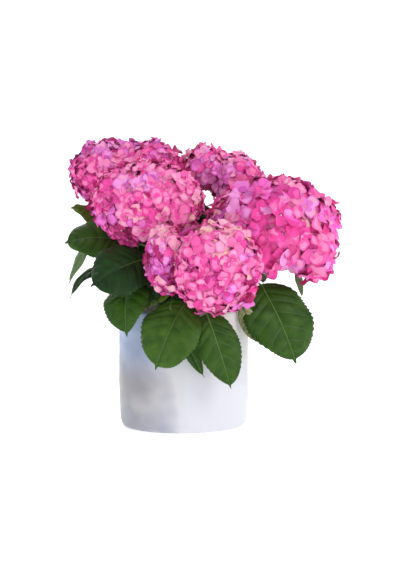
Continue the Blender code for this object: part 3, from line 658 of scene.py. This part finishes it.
class Pile:
    """Shapes gathered into one mesh: each is points, faces of one size, and face slots."""

    def __init__(self):
        self.points, self.faces, self.slots, self.count = [], [], [], 0

    def add(self, points, *parts):
        """A shape. Each part is faces of one size, and their slots."""
        points = np.asarray(points, float).reshape(-1, 3)
        for faces, slots in parts:
            self.faces.append(np.asarray(faces, int) + self.count)
            self.slots.append(np.broadcast_to(slots, len(faces)))
        self.points.append(points)
        self.count += len(points)

    def add_rings(self, rings, poles, slots=0, flip=False):
        """Rings of points, one after another, with a fan from each end ring to its pole.

        slots may be one for each row of faces. flip turns every face round.
        """
        rows, sides = len(rings), len(rings[0])
        slots = np.broadcast_to(slots, rows - 1)
        ring = np.arange(sides)
        ahead = (ring + 1) % sides
        top, pole = (rows - 1) * sides, np.full(sides, rows * sides)
        quads = grid_faces(rows, sides, wrap=True)
        if flip:
            quads, ring, ahead = quads[:, ::-1], ahead, ring
        parts = ((quads, np.repeat(slots, sides)),
                 (np.stack((ahead, ring, pole), 1), slots[0]),
                 (np.stack((top + ring, top + ahead, pole + 1), 1), slots[-1]))
        self.add(np.concatenate((*rings, poles)), *parts)

    def build(self, name, materials, smooth=True):
        corners = np.concatenate([faces.ravel() for faces in self.faces])
        sizes = np.concatenate([np.full(len(faces), faces.shape[1]) for faces in self.faces])
        mesh = bpy.data.meshes.new(name)
        mesh.vertices.add(self.count)
        mesh.vertices.foreach_set("co", np.concatenate(self.points).ravel())
        mesh.loops.add(len(corners))
        mesh.loops.foreach_set("vertex_index", corners)
        mesh.polygons.add(len(sizes))
        mesh.polygons.foreach_set("loop_start", np.concatenate(([0], np.cumsum(sizes)[:-1])))
        for material in materials:
            mesh.materials.append(material)
        mesh.polygons.foreach_set("material_index", np.concatenate(self.slots))
        mesh.polygons.foreach_set("use_smooth", np.full(len(sizes), smooth))
        mesh.update(calc_edges=True)
        return add_object(name, mesh)


def declare(piece, node=None):
    """Attaches a piece of the plant to the root, and hides the imported node it stands for."""
    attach(piece, "root")
    if node:
        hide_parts(node)


def add_tube(pile, path, radii, sides, slots, relief=None):
    """A closed tube along path. relief scales the radius of each point of each ring."""
    path = np.asarray(path, float)
    tangents = unit(np.gradient(path, axis=0))
    across = unit(np.cross(tangents[0], ASIDE))
    angles = around(sides)
    relief = np.ones((len(path), sides)) if relief is None else relief
    rings = []
    for point, tangent, radius, shape in zip(path, tangents, radii, relief):
        across = unit(across - tangent * across.dot(tangent))
        other = np.cross(tangent, across)
        reach = radius * shape
        rings.append(point + (np.outer(np.cos(angles) * reach, across)
                              + np.outer(np.sin(angles) * reach, other)))
    pile.add_rings(rings, (path[0], path[-1]), slots)


def smooth_path(points, steps):
    """A Catmull-Rom curve through points."""
    points = np.asarray(points, float)
    padded = np.concatenate(([2 * points[0] - points[1]], points, [2 * points[-1] - points[-2]]))
    where = np.linspace(0, len(points) - 1, steps)
    span = np.minimum(where.astype(int), len(points) - 2)
    t = (where - span)[:, None]
    a, b, c, d = (padded[span + k] for k in range(4))
    square, cube = 2 * a - 5 * b + 4 * c - d, 3 * b - a - 3 * c + d
    return 0.5 * (2 * b + (c - a) * t + square * t ** 2 + cube * t ** 3)


# ---- Materials ----
class Finish:
    """A material: plain values on its shader's own sockets, and nodes that feed them."""

    def __init__(self, name, colour, roughness, **sockets):
        self.material = bpy.data.materials.new(name)
        self.material.use_nodes = True
        self.material.diffuse_color = (*colour, 1.0)
        self.shader = self.material.node_tree.nodes["Principled BSDF"]
        sockets.update(Base_Color=(*colour, 1.0), Roughness=roughness)
        for socket, value in sockets.items():
            self.shader.inputs[socket.replace("_", " ")].default_value = value

    def node(self, kind, result, inputs=(), **settings):
        """A node's named result. inputs: for each socket a value or another result."""
        node = self.material.node_tree.nodes.new("ShaderNode" + kind)
        for setting, value in settings.items():
            setattr(node, setting, value)
        for socket, value in dict(inputs).items():
            if isinstance(value, bpy.types.NodeSocket):
                self.material.node_tree.links.new(value, node.inputs[socket])
            else:
                node.inputs[socket].default_value = value
        return node.outputs[result]

    def feed(self, socket, value):
        self.material.node_tree.links.new(value, self.shader.inputs[socket])

    def noise(self, scale, detail=3.0, roughness=0.55, stretch=(1, 1, 1)):
        """Noise in the object's own coordinates, in metres."""
        where = self.node("TexCoord", "Object")
        where = self.node("Mapping", "Vector", {"Vector": where, "Scale": stretch})
        return self.node("TexNoise", "Fac", {
            "Vector": where, "Scale": scale, "Detail": detail, "Roughness": roughness})

    def ramp(self, factor, stops):
        """Colours along a factor from 0 to 1."""
        colour = self.node("ValToRGB", "Color", {"Fac": factor})
        elements = colour.node.color_ramp.elements
        while len(elements) < len(stops):
            elements.new(0.5)
        for element, (position, tint) in zip(elements, stops):
            element.position = position
            element.color = (*tint, 1.0)
        return colour

    def span(self, factor, low, high, start=GRAIN_ENDS[0], end=GRAIN_ENDS[1]):
        """A value that goes from low to high as factor goes from start to end."""
        return self.node("MapRange", "Result", {
            "Value": factor, "From Min": start, "From Max": end, "To Min": low, "To Max": high})

    def blend(self, way, share, first, second):
        return self.node("MixRGB", "Color", {"Fac": share, "Color1": first, "Color2": second},
                         blend_type=way)

    def vary_roughness(self, grain, low, high):
        self.feed("Roughness", self.span(self.noise(*grain), low, high))

    def bump(self, grain, distance, strength):
        self.feed("Normal", self.node("Bump", "Normal", {
            "Height": self.noise(*grain), "Distance": distance, "Strength": strength}))


def grained(name, colour, roughness, bumps, grain=None, stops=(), gloss=None, **sockets):
    """A material with relief. grain is the noise that tints it, from stop to stop."""
    finish = Finish(name, colour, roughness, **sockets)
    if grain:
        finish.feed("Base Color", finish.ramp(finish.noise(*grain), stops))
    if gloss:
        finish.vary_roughness(*gloss)
    finish.bump(*bumps)
    return finish.material


def petal_material(tone):
    return grained("petal_" + tone, PETAL_TONES[tone][0], roughness=0.60, bumps=PETAL_BUMPS,
                   Sheen_Weight=0.10, Sheen_Roughness=0.45, Specular_IOR_Level=0.20)


def leaf_material(tone):
    stops = tuple(zip(GRAIN_ENDS, LEAF_TONES[tone]))
    return grained("leaf_" + tone, LEAF_TONES[tone][1], roughness=0.42, bumps=LEAF_BUMPS,
                   grain=LEAF_GRAIN, stops=stops, gloss=LEAF_GLOSS,
                   Specular_IOR_Level=0.25 if tone == "under" else 0.20)


def green_material(name, colour, roughness=0.5):
    stops = tuple(zip(GRAIN_ENDS, (tuple(GREEN_SHADE * channel for channel in colour), colour)))
    return grained(name, colour, roughness, GREEN_BUMPS, GREEN_GRAIN, stops, Specular_IOR_Level=0.4)


def glaze_material():
    """A satin white slip over stoneware with an uneven drift of tone, and painted shade and reflections:
    greyer towards the side away from the key light, warm low and cool high on that side, warm high on the
    other.
    """
    glaze = Finish("satin_glaze_painted_shade", GLAZE, roughness=0.40, Coat_Weight=0.15,
                   Coat_Roughness=0.30, Specular_IOR_Level=0.45)
    where = glaze.node("TexCoord", "Object")
    facing = glaze.node("VectorMath", "Value", {0: where, 1: PAINTED_SHADE_SIDE}, operation="DOT_PRODUCT")
    height = glaze.node("SeparateXYZ", "Z", {"Vector": where})
    height = glaze.span(height, 0.0, 1.0, 0.0, POT_HEIGHT)
    drifts = glaze.span(glaze.noise(*GLAZE_DRIFTS), *DRIFT_SPAN)
    # Painted shade: the glaze turns darker towards the side away from the key light.
    lean = glaze.span(facing, *PAINTED_SHADE_LEAN)
    drifts = glaze.node("Math", "Value", {0: drifts, 1: lean}, operation="ADD")
    # Painted reflections: the shaded side takes the cool tint, the lit side the warm one, each by height.
    shaded = glaze.span(facing, *SHADED_SPAN)
    tint = glaze.blend("MIX", shaded, glaze.ramp(height, GLAZE_LIT_SIDE_REFLECTIONS), glaze.ramp(height, GLAZE_SHADED_SIDE_REFLECTIONS))
    glaze.feed("Base Color", glaze.blend("MULTIPLY", 1.0, glaze.ramp(drifts, GLAZE_DRIFT_AND_PAINTED_SHADE), tint))
    glaze.vary_roughness(*GLAZE_GLOSS)
    glaze.bump(*GLAZE_BUMPS)
    return glaze.material


# ---- Pot and potting mix ----
def pot_wave(angle):
    return 1 + sum(share * np.sin(lobes * angle + phase) for lobes, share, phase in POT_WAVES)


def side_radius(z):
    """The outside's radius at a height: drawn in towards the foot, then straight."""
    share = np.clip(z / (POT_HEIGHT * SIDE_EASE[0]), 0, 1)
    return POT_FOOT_RADIUS + (POT_RADIUS - POT_FOOT_RADIUS) * (1 - (1 - share) ** SIDE_EASE[1])


def build_pot():
    """The pot with a soft foot and lip, and the slight unevenness of hand forming."""
    lip = POT_WALL / 2
    inner = POT_RADIUS - POT_WALL
    flat = POT_FOOT_RADIUS - FOOT_ROUND
    profile = [(radius, 0.0) for radius in np.linspace(0.0, flat, UNDERSIDE_ROWS)]
    for turn in np.linspace(-math.pi / 2, 0, FOOT_STEPS)[1:]:
        profile.append((flat + FOOT_ROUND * math.cos(turn), FOOT_ROUND * (1 + math.sin(turn))))
    for z in np.linspace(FOOT_ROUND, POT_HEIGHT - lip, SIDE_ROWS)[1:]:
        profile.append((side_radius(z), z))
    for turn in np.linspace(0, math.pi, LIP_STEPS)[1:]:
        profile.append((POT_RADIUS - lip + lip * math.cos(turn), POT_HEIGHT - lip + lip * math.sin(turn)))
    profile += [(inner, MIX_TOP), (inner, POT_HEIGHT * INSIDE_MIDDLE),
                (inner - INSIDE_BEND[0], POT_FLOOR + INSIDE_BEND[1]),
                (POT_FOOT_RADIUS - POT_WALL - FLOOR_INSET, POT_FLOOR)]
    angles = around(POT_SIDES)
    rows = []
    for radius, z in profile[1:]:
        reach = radius * pot_wave(angles)
        if radius > POT_RADIUS - lip and z > FOOT_ROUND:
            for lobes, climb, phase, depth in HAND_WAVES:
                wave = np.sin(lobes * angles + climb * FULL_TURN * z / POT_HEIGHT + phase)
                reach = reach - depth * (1 + wave) / 2
        rows.append(ring_at(angles, reach, z))
    pile = Pile()
    pile.add_rings(rows, ((0, 0, 0), (0, 0, POT_FLOOR)))
    declare(pile.build("white_pot", [glaze_material()]), "pot")


def build_mix():
    """Crumbly mix: an uneven top with chips of bark strewn over it, down into the pot."""
    rng = np.random.default_rng(SEED + 1)
    side = POT_RADIUS - POT_WALL - MIX_GAP
    angles = around(MIX_SPOKES)
    wave = pot_wave(angles)
    height, along, aside = MIX_LUMPS
    fine, fine_along, fine_aside = MIX_FINE_LUMPS
    rows = []
    for share in np.linspace(MIX_START, 1.0, MIX_RINGS):
        x = np.cos(angles) * side * share * wave
        y = np.sin(angles) * side * share * wave
        lumps = np.sin(x * along + 1) * np.sin(y * aside + 2)
        lumps = lumps + fine * np.sin(x * fine_along + y * fine_aside)
        z = MIX_TOP - MIX_SINK - MIX_RELIEF * (0.5 - height * lumps) * (share < 1)
        rows.append(np.column_stack((x, y, z + MIX_GRIT * rng.uniform(-1, 0, MIX_SPOKES))))
    rows += [ring_at(angles, radius * wave, z) for z, radius in MIX_SIDE]
    pile = Pile()
    pile.add_rings(rows, ((0, 0, MIX_TOP - MIX_RELIEF / 2), (0, 0, MIX_FOOT)), flip=True)
    for _ in range(CHIPS):
        heading, lean = rng.uniform(0, FULL_TURN), rng.uniform(-CHIP_LEAN, CHIP_LEAN)
        reach = (side - CHIP_INSET) * math.sqrt(rng.uniform(0, 1))
        bearing = rng.uniform(0, FULL_TURN)
        size = between(CHIP_SIZE, rng.uniform(0, 1)) * np.array((1.0, rng.uniform(*CHIP_WIDTH), CHIP_HEIGHT))
        x, y, z = (BOX * size * rng.uniform(*CHIP_WEAR, (8, 3))).T
        c, s = math.cos(heading), math.sin(heading)
        chip = np.stack((x * c - y * s, x * s + y * c, z + x * lean), 1)
        place = (reach * math.cos(bearing), reach * math.sin(bearing), MIX_TOP - CHIP_SUNK)
        pile.add(chip + place, (BOX_FACES, 0))
    crumb = grained("potting_mix", CRUMB, 0.95, MIX_BUMPS, MIX_GRAIN, MIX)
    declare(pile.build("potting_mix_crumb", [crumb], smooth=False), "potting_mix")


# ---- Limbs ----
def build_limb(shoot, leaves, materials):
    """Stem, leafy length and bloom stalk in one, ridged, swollen where leaves join it."""
    shares = np.linspace(0, STALK_END, LIMB_ROWS)
    path = np.array([shoot_point(shoot, share) for share in shares])
    radii = np.array([shoot_radius(share) for share in shares])
    for at in sorted({round(leaf.at, 3) for leaf in leaves}):
        radii *= 1 + NODE_SWELL * np.exp(-((shares - at) / NODE_WIDTH) ** 2)
    relief = np.ones((LIMB_ROWS, LIMB_SIDES))
    for lobes, depth, phase, turns in RIDGES:
        relief += depth * np.sin(lobes * around(LIMB_SIDES) + phase + turns * shares[:, None])
    woody = np.where(shares[:-1] < shoot.bare * WOODY_SHARE, 0, 1)
    pile = Pile()
    add_tube(pile, path, radii, LIMB_SIDES, woody, relief)
    declare(pile.build("limb_" + shoot.name, materials), "stem_" + shoot.name)


# ---- Leaves ----
def leaf_frame(leaf):
    along = unit(np.subtract(leaf.tip, leaf.base))
    left = unit(np.cross(leaf.face, along))
    return along, left, np.cross(along, left)


def midrib(leaf, share):
    """Points on the blade's middle line, at an array of shares of its length."""
    reach = np.subtract(leaf.tip, leaf.base)
    share = np.asarray(share, float)[..., None]
    arch = leaf.bow * np.linalg.norm(reach) * 4 * share * (1 - share)
    return leaf.base + reach * share + leaf_frame(leaf)[2] * arch


def row_shares():
    """Places of the blade's rows along its midrib, closer together at both ends."""
    even = np.linspace(0, 1, BLADE_ROWS)
    return between(BLADE_ENDS, even - ROW_CROWDING * np.sin(2 * math.pi * even))


def swept(share, u):
    """A row runs forward from the midrib, as side veins do, save near the blade's ends."""
    room = np.minimum(1, share / SWEEP_ROOM[0]) * np.minimum(1, (1 - share) / SWEEP_ROOM[1])
    return share + VEIN_SWEEP * room * np.abs(u) ** VEIN_BEND


def blade_outline(share, u, tips):
    """Half the blade's width: an oval, blunter on one side, with a short narrow point."""
    tip = np.where(u > 0, tips[0], tips[1])
    widest = FOOT_ROUNDNESS / (FOOT_ROUNDNESS + tip)
    peak = widest ** FOOT_ROUNDNESS * (1 - widest) ** tip
    inner = np.clip(share / OVAL_END, 0, 1)
    oval = inner ** FOOT_ROUNDNESS * (1 - inner) ** tip / peak
    return np.maximum(oval, POINT_WIDTH * (1 - share) / POINT_LENGTH * (share > 0.5))


def blade_points(leaf, look, row, u, notch=0.0):
    """Points on the blade's upper side: row is their row's place on the midrib."""
    _, left, upward = leaf_frame(leaf)
    across = np.abs(u)
    share = swept(row, u)
    half = leaf.width / 2 * blade_outline(share, u, look.tips)
    height = half * (LEAF_FOLD * across - LEAF_CURL * u * u)
    shift = np.where(u > 0, MARGIN_SHIFT, 0.0)
    ripple = np.sin(FULL_TURN * (MARGIN_WAVES * share + look.phase) + shift)
    height = height + leaf.width * MARGIN_WAVE * ripple * across ** MARGIN_BEND
    line = (np.interp(row, row_shares(), np.arange(BLADE_ROWS)) - VEIN_FIRST) / VEIN_ROWS
    quilt = np.abs(np.sin(math.pi * line)) * np.minimum(1, QUILT_EDGE * across) * (1 - across ** QUILT_EDGE)
    height = height + QUILT * quilt * np.minimum(1, half / QUILT_ROOM)
    height = height - MIDRIB_GROOVE * np.exp(-(across * half / GROOVE_WIDTH) ** 2)
    reach = half * (1 + notch)
    return midrib(leaf, share) + left * (reach * u)[..., None] + upward * height[..., None]


def add_blade(pile, leaf, look, under_slot):
    """Both sides of a blade, with a toothed margin."""
    columns = np.array([-u for u in BLADE_COLUMNS[::-1]] + [0.0] + list(BLADE_COLUMNS))
    row, u = np.meshgrid(row_shares(), columns, indexing="ij")
    tooth = (np.arange(BLADE_ROWS) % ROWS_A_TOOTH) / (ROWS_A_TOOTH - 1) - 0.5
    notch = 2 * TOOTH_DEPTH * tooth[:, None] * np.abs(u) ** TOOTH_BEND
    upper = blade_points(leaf, look, row, u, notch)
    sheet = BLADE_SHEET * (1 - SHEET_THINNING * np.abs(u) ** 4)
    lower = upper - leaf_frame(leaf)[2] * sheet[..., None]
    top, under, rim = sheet_faces(*row.shape)
    pile.add((upper, lower), (top, look.slot), (under, under_slot), (rim, under_slot))


def add_vein(pile, leaf, look, row, u, widths, slot):
    """A thin ribbon that lies on the blade along a line of rows and places across."""
    upward = leaf_frame(leaf)[2]
    path = blade_points(leaf, look, row, u)
    tangent = unit(np.gradient(path, axis=0))
    side = unit(np.cross(tangent, upward)) * np.asarray(widths)[:, None]
    crown = path + upward * VEIN_RISE
    edge = upward * VEIN_RISE / 2
    points = np.stack((path - side + edge, crown, path + side + edge), 1)
    pile.add(points, (grid_faces(len(row), 3), slot))


def add_veins(pile, leaf, look, slot):
    """The midrib, in the slot after the side veins', and pairs of side veins."""
    rows = row_shares()
    middle = rows[1:-2:2]
    widths = MIDRIB_WIDTHS[1] * (1 - middle) + MIDRIB_WIDTHS[0]
    add_vein(pile, leaf, look, middle, np.zeros(len(middle)), widths, slot + 1)
    across = np.array((0.0,) + BLADE_COLUMNS[:-1])
    widths = (VEIN_WIDTHS[1] * (1 - across) + VEIN_WIDTHS[0]) * min(1.0, leaf.width / FULL_WIDTH)
    for k in range(VEIN_COUNT):
        row = np.full(len(across), rows[VEIN_FIRST + VEIN_ROWS * k])
        for side in (-1, 1):
            add_vein(pile, leaf, look, row, side * across, widths, slot)


def add_leafstalk(pile, shoot, leaf, slot):
    """The stalk, which runs on under the blade as its rib."""
    under = leaf_frame(leaf)[2] * LEAF_THICKNESS / 2
    node = shoot_point(shoot, leaf.at)
    start = leaf.base - under
    arch = UP * STALK_ARCH * np.linalg.norm(leaf.base - node)
    along = [midrib(leaf, share) - under * RIB_DEPTH for share in RIB_SHARES]
    path = smooth_path([node, (node + start) / 2 + arch, start] + along, RIB_STEPS)
    knots = np.arange(len(RIB_TAPER))
    radii = np.interp(np.linspace(0, knots[-1], RIB_STEPS), knots, np.array(RIB_TAPER) * STALK_RADIUS)
    add_tube(pile, path, radii, RIB_SIDES, slot)


def build_foliage(shoot, leaves, materials, rng):
    """A shoot's leaves in one piece: each has a tone of its own."""
    pile = Pile()
    looks = dict(zip(map(id, shoot.leaves), LEAF_LOOKS[shoot.name]))
    for leaf in leaves:
        tone, tips = rng.choice(RULE_TONES, p=RULE_ODDS), tuple(rng.uniform(*RULE_TIPS, 2))
        tone, tips = looks.get(id(leaf), (tone, tips))
        look = Look(LEAF_SLOTS.index(tone), tips, rng.uniform(0, 1))
        add_blade(pile, leaf, look, LEAF_SLOTS.index("under"))
        add_veins(pile, leaf, look, LEAF_SLOTS.index("dark_vein" if tone == "dark" else "vein"))
        add_leafstalk(pile, shoot, leaf, LEAF_SLOTS.index("leafstalk"))
    declare(pile.build("foliage_" + shoot.name, materials), "leaves_" + shoot.name)


# ---- Blooms ----
def ellipsoid_area(radii):
    a, b, c = (radius ** THOMSEN_POWER for radius in radii)
    return 4 * math.pi * ((a * b + a * c + b * c) / 3) ** (1 / THOMSEN_POWER)


def floret_seats(shoot, rng):
    """A bloom's florets: their seats, the ways they look, their sizes and their lobes."""
    facing = unit(shoot.facing)
    across, other = beside(facing)
    found = []
    radius = shoot.floret * FLORET_SCALE
    tilt = RUFFLED_TILT if shoot.name in RUFFLED else FLORET_TILT
    cover = (1 - math.cos(BLOOM_COVER)) / 2
    for index, lobe in enumerate(shoot.lobes):
        centre, radii = np.asarray(lobe.centre), np.asarray(lobe.radii)
        count = round(ellipsoid_area(radii) * cover / (HEX_PACKING * (FLORET_SPACING * radius) ** 2))
        k = np.arange(count)
        level = 1 - (k + 0.5) / count * 2 * cover
        out = np.sqrt(1 - level ** 2)
        bearing = k * GOLDEN_ANGLE + index
        direction = level[:, None] * facing + out[:, None] * turned_by(bearing, across, other)
        direction = unit(direction + rng.normal(0, FLORET_STRAY, (count, 3)))
        height = 1 - FLORET_SUNK[0] * radius / radii.min() - FLORET_SUNK[1] * rng.uniform(0, 1, count)
        seat = centre + radii * direction * height[:, None]
        limit = TILT_LIMIT * tilt
        normal = unit(unit(direction / radii) + rng.normal(0, tilt, (count, 3)).clip(-limit, limit))
        keep = np.ones(count, bool)
        for rival in shoot.lobes:
            if rival is not lobe:
                keep &= np.linalg.norm((seat - rival.centre) / rival.radii, axis=1) > LOBE_MEETING
        for place, reach in HOLLOWS.get(shoot.name, ()):
            keep &= np.linalg.norm(seat - place, axis=1) > reach
        found.append((seat[keep], normal[keep], np.full(keep.sum(), index)))
    seats, normals, lobes = (np.concatenate(each) for each in zip(*found))
    return seats, normals, radius * rng.uniform(*FLORET_SIZES, len(seats)), lobes


def sepal_shape(count, wave, rng):
    """Local places of the points of count sepals: along, aside and up, for length 1."""
    row = np.array(SEPAL_ROWS)[:, None]
    turn = np.linspace(-SEPAL_TURN, SEPAL_TURN, SEPAL_COLUMNS)[None, :]

    def draw(ends):
        return rng.uniform(*ends, count)[:, None, None]

    # A round blade, a little pointed or notched at its end, with uneven edges.
    pointing, notching, rippling = (waves * turn[None] for waves in SEPAL_WAVES)
    rim = 1 + draw(SEPAL_POINTING) * np.cos(pointing) + (
        draw(SEPAL_NOTCHING) * np.sin(notching + draw(SEPAL_PHASE)))
    along = row * (SEPAL_CENTRE + SEPAL_ROUND * np.cos(turn) * rim) * draw(SEPAL_LENGTHS)
    aside = row * SEPAL_ROUND * np.sin(turn) * rim * draw(SEPAL_WIDTHS)
    up = along * draw(SEPAL_RISE) + along ** 2 * draw(SEPAL_DROOP) + aside ** 2 * draw(SEPAL_CUP)
    ripple = wave * draw(SEPAL_RIPPLE) * np.sin(rippling + draw(SEPAL_PHASE))
    return along, aside, up + ripple * row[None] ** 3


def floret_tones(shoot, seats, rng):
    """A tone for each floret, by the bloom's own mixture or by the patch it stands in, some of which are
    painted light or shade.
    """
    names = list(BLOOM_TONES[shoot.name])
    weights = np.array([BLOOM_TONES[shoot.name][name] for name in names], float)
    tones = rng.choice(names, len(seats), p=weights / weights.sum())
    for place, reach, patch in TONE_AND_PAINTED_LIGHT_PATCHES.get(shoot.name, ()):
        share = np.linalg.norm(seats - place, axis=1) / reach
        turned = rng.uniform(0, 1, len(seats)) < PATCH_ODDS - share ** 2
        tones = np.where(turned & (share < 1), rng.choice(patch.split(), len(seats)), tones)
    return np.array([TONES.index(name) for name in tones])


def add_florets(pile, shoot, rng):
    """All sepals of a bloom at once, then the bead at the middle of each floret."""
    seats, normals, sizes, _ = floret_seats(shoot, rng)
    florets = len(seats)
    spin = rng.uniform(0, math.pi / 2, florets)
    first, second = beside(normals)
    tones = floret_tones(shoot, seats, rng)
    wave, growth, contrast = 1.0, 1.0, 1.0
    if shoot.name in RUFFLED:
        wave, growth, contrast = RUFFLED_WAVE, RUFFLED_GROWTH, RUFFLED_CONTRAST
    count = florets * 4
    along, aside, up = sepal_shape(count, wave, rng)
    home, place = np.divmod(np.arange(count), 4)
    angle = spin[home] + place * math.pi / 2 + rng.normal(0, SEPAL_STRAY, count)
    size = sizes[home] * rng.uniform(*SEPAL_SIZES, count) * growth
    out = turned_by(angle, first[home], second[home])
    left = np.cross(normals[home], out)
    lift = SEPAL_LIFTS[0] * (place % 2) + SEPAL_LIFTS[1]
    local = (along[..., None] * out[:, None, None] + aside[..., None] * left[:, None, None]
             + (up + lift[:, None, None])[..., None] * normals[home][:, None, None])
    points = seats[home][:, None, None] + local * size[:, None, None, None]
    rows, columns = len(SEPAL_ROWS), SEPAL_COLUMNS
    tone = tones[home]
    chance = rng.uniform(0, 1, (4, count))
    tone = np.where(chance[0] < TONE_SHIFT, DEEPER[tone],
                    np.where(chance[0] > 1 - TONE_SHIFT, PALER[tone], tone))
    slots = np.repeat(tone, (rows - 1) * (columns - 1)).reshape(-1, rows - 1, columns - 1)
    # Paler middles and deeper rims and bases: partly a painted highlight and painted shade within each
    # sepal.
    for luck, (share, strips, part, tint) in zip(chance[1:], SEPAL_TINT_AND_SHADE_PARTS):
        picked = luck < share * contrast
        slots[picked, strips, part] = tint[tone[picked]][:, None, None]
    pile.add(points, (copies(grid_faces(rows, columns), count, rows * columns), slots.ravel()))
    add_beads(pile, seats + normals * sizes[:, None] * BEAD_SEAT, normals, sizes * BEAD_SIZE, rng)


def add_beads(pile, centres, normals, radii, rng):
    """The small closed flower at the middle of each floret."""
    first, second = beside(normals)
    ring = turned_by(around(BEAD_SIDES), first[:, None], second[:, None])
    points = np.concatenate([
        centres[:, None] + radii[:, None, None] * (reach * ring + rise * normals[:, None])
        for reach, rise in BEAD_RINGS], axis=1)
    pattern = grid_faces(len(BEAD_RINGS), BEAD_SIDES, wrap=True)
    pattern = np.concatenate((pattern[:, ::-1], BEAD_TIP))
    faces = copies(pattern, len(centres), len(BEAD_RINGS) * BEAD_SIDES)
    pile.add(points, (faces, np.repeat(rng.choice(BEAD_TONES, len(centres)), len(pattern))))


def build_heart(shoot, materials, rng):
    """What shows between florets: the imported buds' mass, and the fine stalks through it."""
    pile = Pile()
    turns = around(HEART_SIDES)
    depth, lumps, twist, down = HEART_LUMPS
    for lobe in shoot.lobes:
        centre, radii = np.asarray(lobe.centre), np.asarray(lobe.radii)
        rows = []
        for polar in np.linspace(HEART_POLE, math.pi - HEART_POLE, HEART_RINGS):
            ring = ring_at(turns, np.sin(polar), math.cos(polar))
            relief = 1 + depth * np.sin(lumps * turns + twist * polar) * np.sin(down * polar)
            rows.append(centre + ring * radii * HEART_SHARE * relief[:, None])
        top = np.array((0, 0, radii[2] * HEART_SHARE))
        pile.add_rings(rows, (centre + top, centre - top), flip=True)
    for seat, normal, size, index in zip(*floret_seats(shoot, rng)):
        centre = np.asarray(shoot.lobes[index].centre)
        root = centre + (seat - centre) * PEDICEL_ROOT
        path = smooth_path([root, (root + seat) / 2 - normal * size * PEDICEL_BEND, seat], PEDICEL_STEPS)
        add_tube(pile, path, np.full(PEDICEL_STEPS, PEDICEL_RADIUS), PEDICEL_SIDES, 1)
    declare(pile.build("bloom_heart_" + shoot.name, materials))


def build_bloom(shoot, seed, materials, heart_materials):
    pile = Pile()
    add_florets(pile, shoot, np.random.default_rng(seed))
    declare(pile.build("florets_" + shoot.name, materials), "bloom_" + shoot.name)
    build_heart(shoot, heart_materials, np.random.default_rng(seed))


# ---- Floor, light and camera ----
def build_stage():
    """A wide white floor, a backdrop that sweeps up from it, and a wall all round."""
    white = Finish("studio_white", STUDIO_WHITE, roughness=0.9, Specular_IOR_Level=0.1,
                   Emission_Color=(1.0, 1.0, 1.0, 1.0), Emission_Strength=STUDIO_GLOW).material
    reach = (-FLOOR_REACH, FLOOR_REACH)
    profile = [(BACKDROP_START + BACKDROP_SWEEP * math.sin(turn),
                BACKDROP_LIFT + BACKDROP_SWEEP * (1 - math.cos(turn)))
               for turn in np.linspace(0, math.pi / 2, BACKDROP_ROWS)]
    profile.append((BACKDROP_START + BACKDROP_SWEEP, BACKDROP_TOP))
    turns = np.linspace(0, FULL_TURN, WALL_COLUMNS)
    for name, rows in (
            ("studio_floor", [[(x, y, 0.0) for x in reach] for y in reach]),
            ("studio_backdrop", [[(-BACKDROP_REACH, y, z), (BACKDROP_REACH, y, z)] for y, z in profile]),
            ("studio_wall", [[(WALL_REACH * math.sin(turn), -WALL_REACH * math.cos(turn), z)
                              for turn in turns] for z in (0.0, WALL_RISE)])):
        pile = Pile()
        pile.add(rows, (grid_faces(len(rows), len(rows[0])), 0))
        pile.build(name, [white])


def add_light(name, place, size, energy, colour):
    light = bpy.data.lights.new(name, "AREA")
    light.shape = "DISK"
    light.size = size
    light.energy = energy
    light.color = colour
    lamp = add_object(name, light)
    towards = unit(np.subtract(LIGHTS_AIM, place))
    lamp.location = place
    lamp.rotation_euler = (math.acos(-towards[2]), 0.0, math.atan2(-towards[0], towards[1]))


def build_view():
    scene = bpy.context.scene
    scene.world = bpy.data.worlds.new("soft_sky")
    scene.world.use_nodes = True
    sky = scene.world.node_tree.nodes["Background"].inputs
    sky["Color"].default_value = SKY
    sky["Strength"].default_value = SKY_STRENGTH
    for light in LIGHTS:
        add_light(*light)
    camera = add_object("camera", bpy.data.cameras.new("camera"))
    back = np.array((0.0, -math.cos(CAMERA_RISE), math.sin(CAMERA_RISE)))
    camera.location = np.array(CAMERA_AIM) + CAMERA_DISTANCE * back
    camera.rotation_euler = (math.pi / 2 - CAMERA_RISE, 0.0, 0.0)
    camera.data.sensor_width = SENSOR
    camera.data.lens = FOCAL_PIXELS * SENSOR / FRAME_HEIGHT
    scene.camera = camera
    scene.view_settings.view_transform = "Standard"


# ---- Building ----
build_pot()
build_mix()
held = packed_leaves()
bark = grained("bark", BROWN_BARK, 0.85, BARK_BUMPS, BARK_GRAIN, BARK)
stem_materials = [bark, green_material("green_bark", GREEN_BARK, 0.6)]
leaf_materials = [leaf_material(tone) for tone in LEAF_TONES]
leaf_materials += [green_material(name, colour) for name, colour in GREENS.items()]
petal_materials = [petal_material(tone) for tone in TONES]
heart_materials = [grained("bloom_heart", HEART, 0.8, HEART_BUMPS),
                   green_material("pedicel", PEDICEL, 0.6)]
leaf_rng = np.random.default_rng(SEED + 2)
for number, shoot in enumerate(SHOOTS):
    build_limb(shoot, held[shoot.name], stem_materials)
    build_foliage(shoot, held[shoot.name], leaf_materials, leaf_rng)
    build_bloom(shoot, SEED * 100 + number, petal_materials, heart_materials)
build_stage()
build_view()
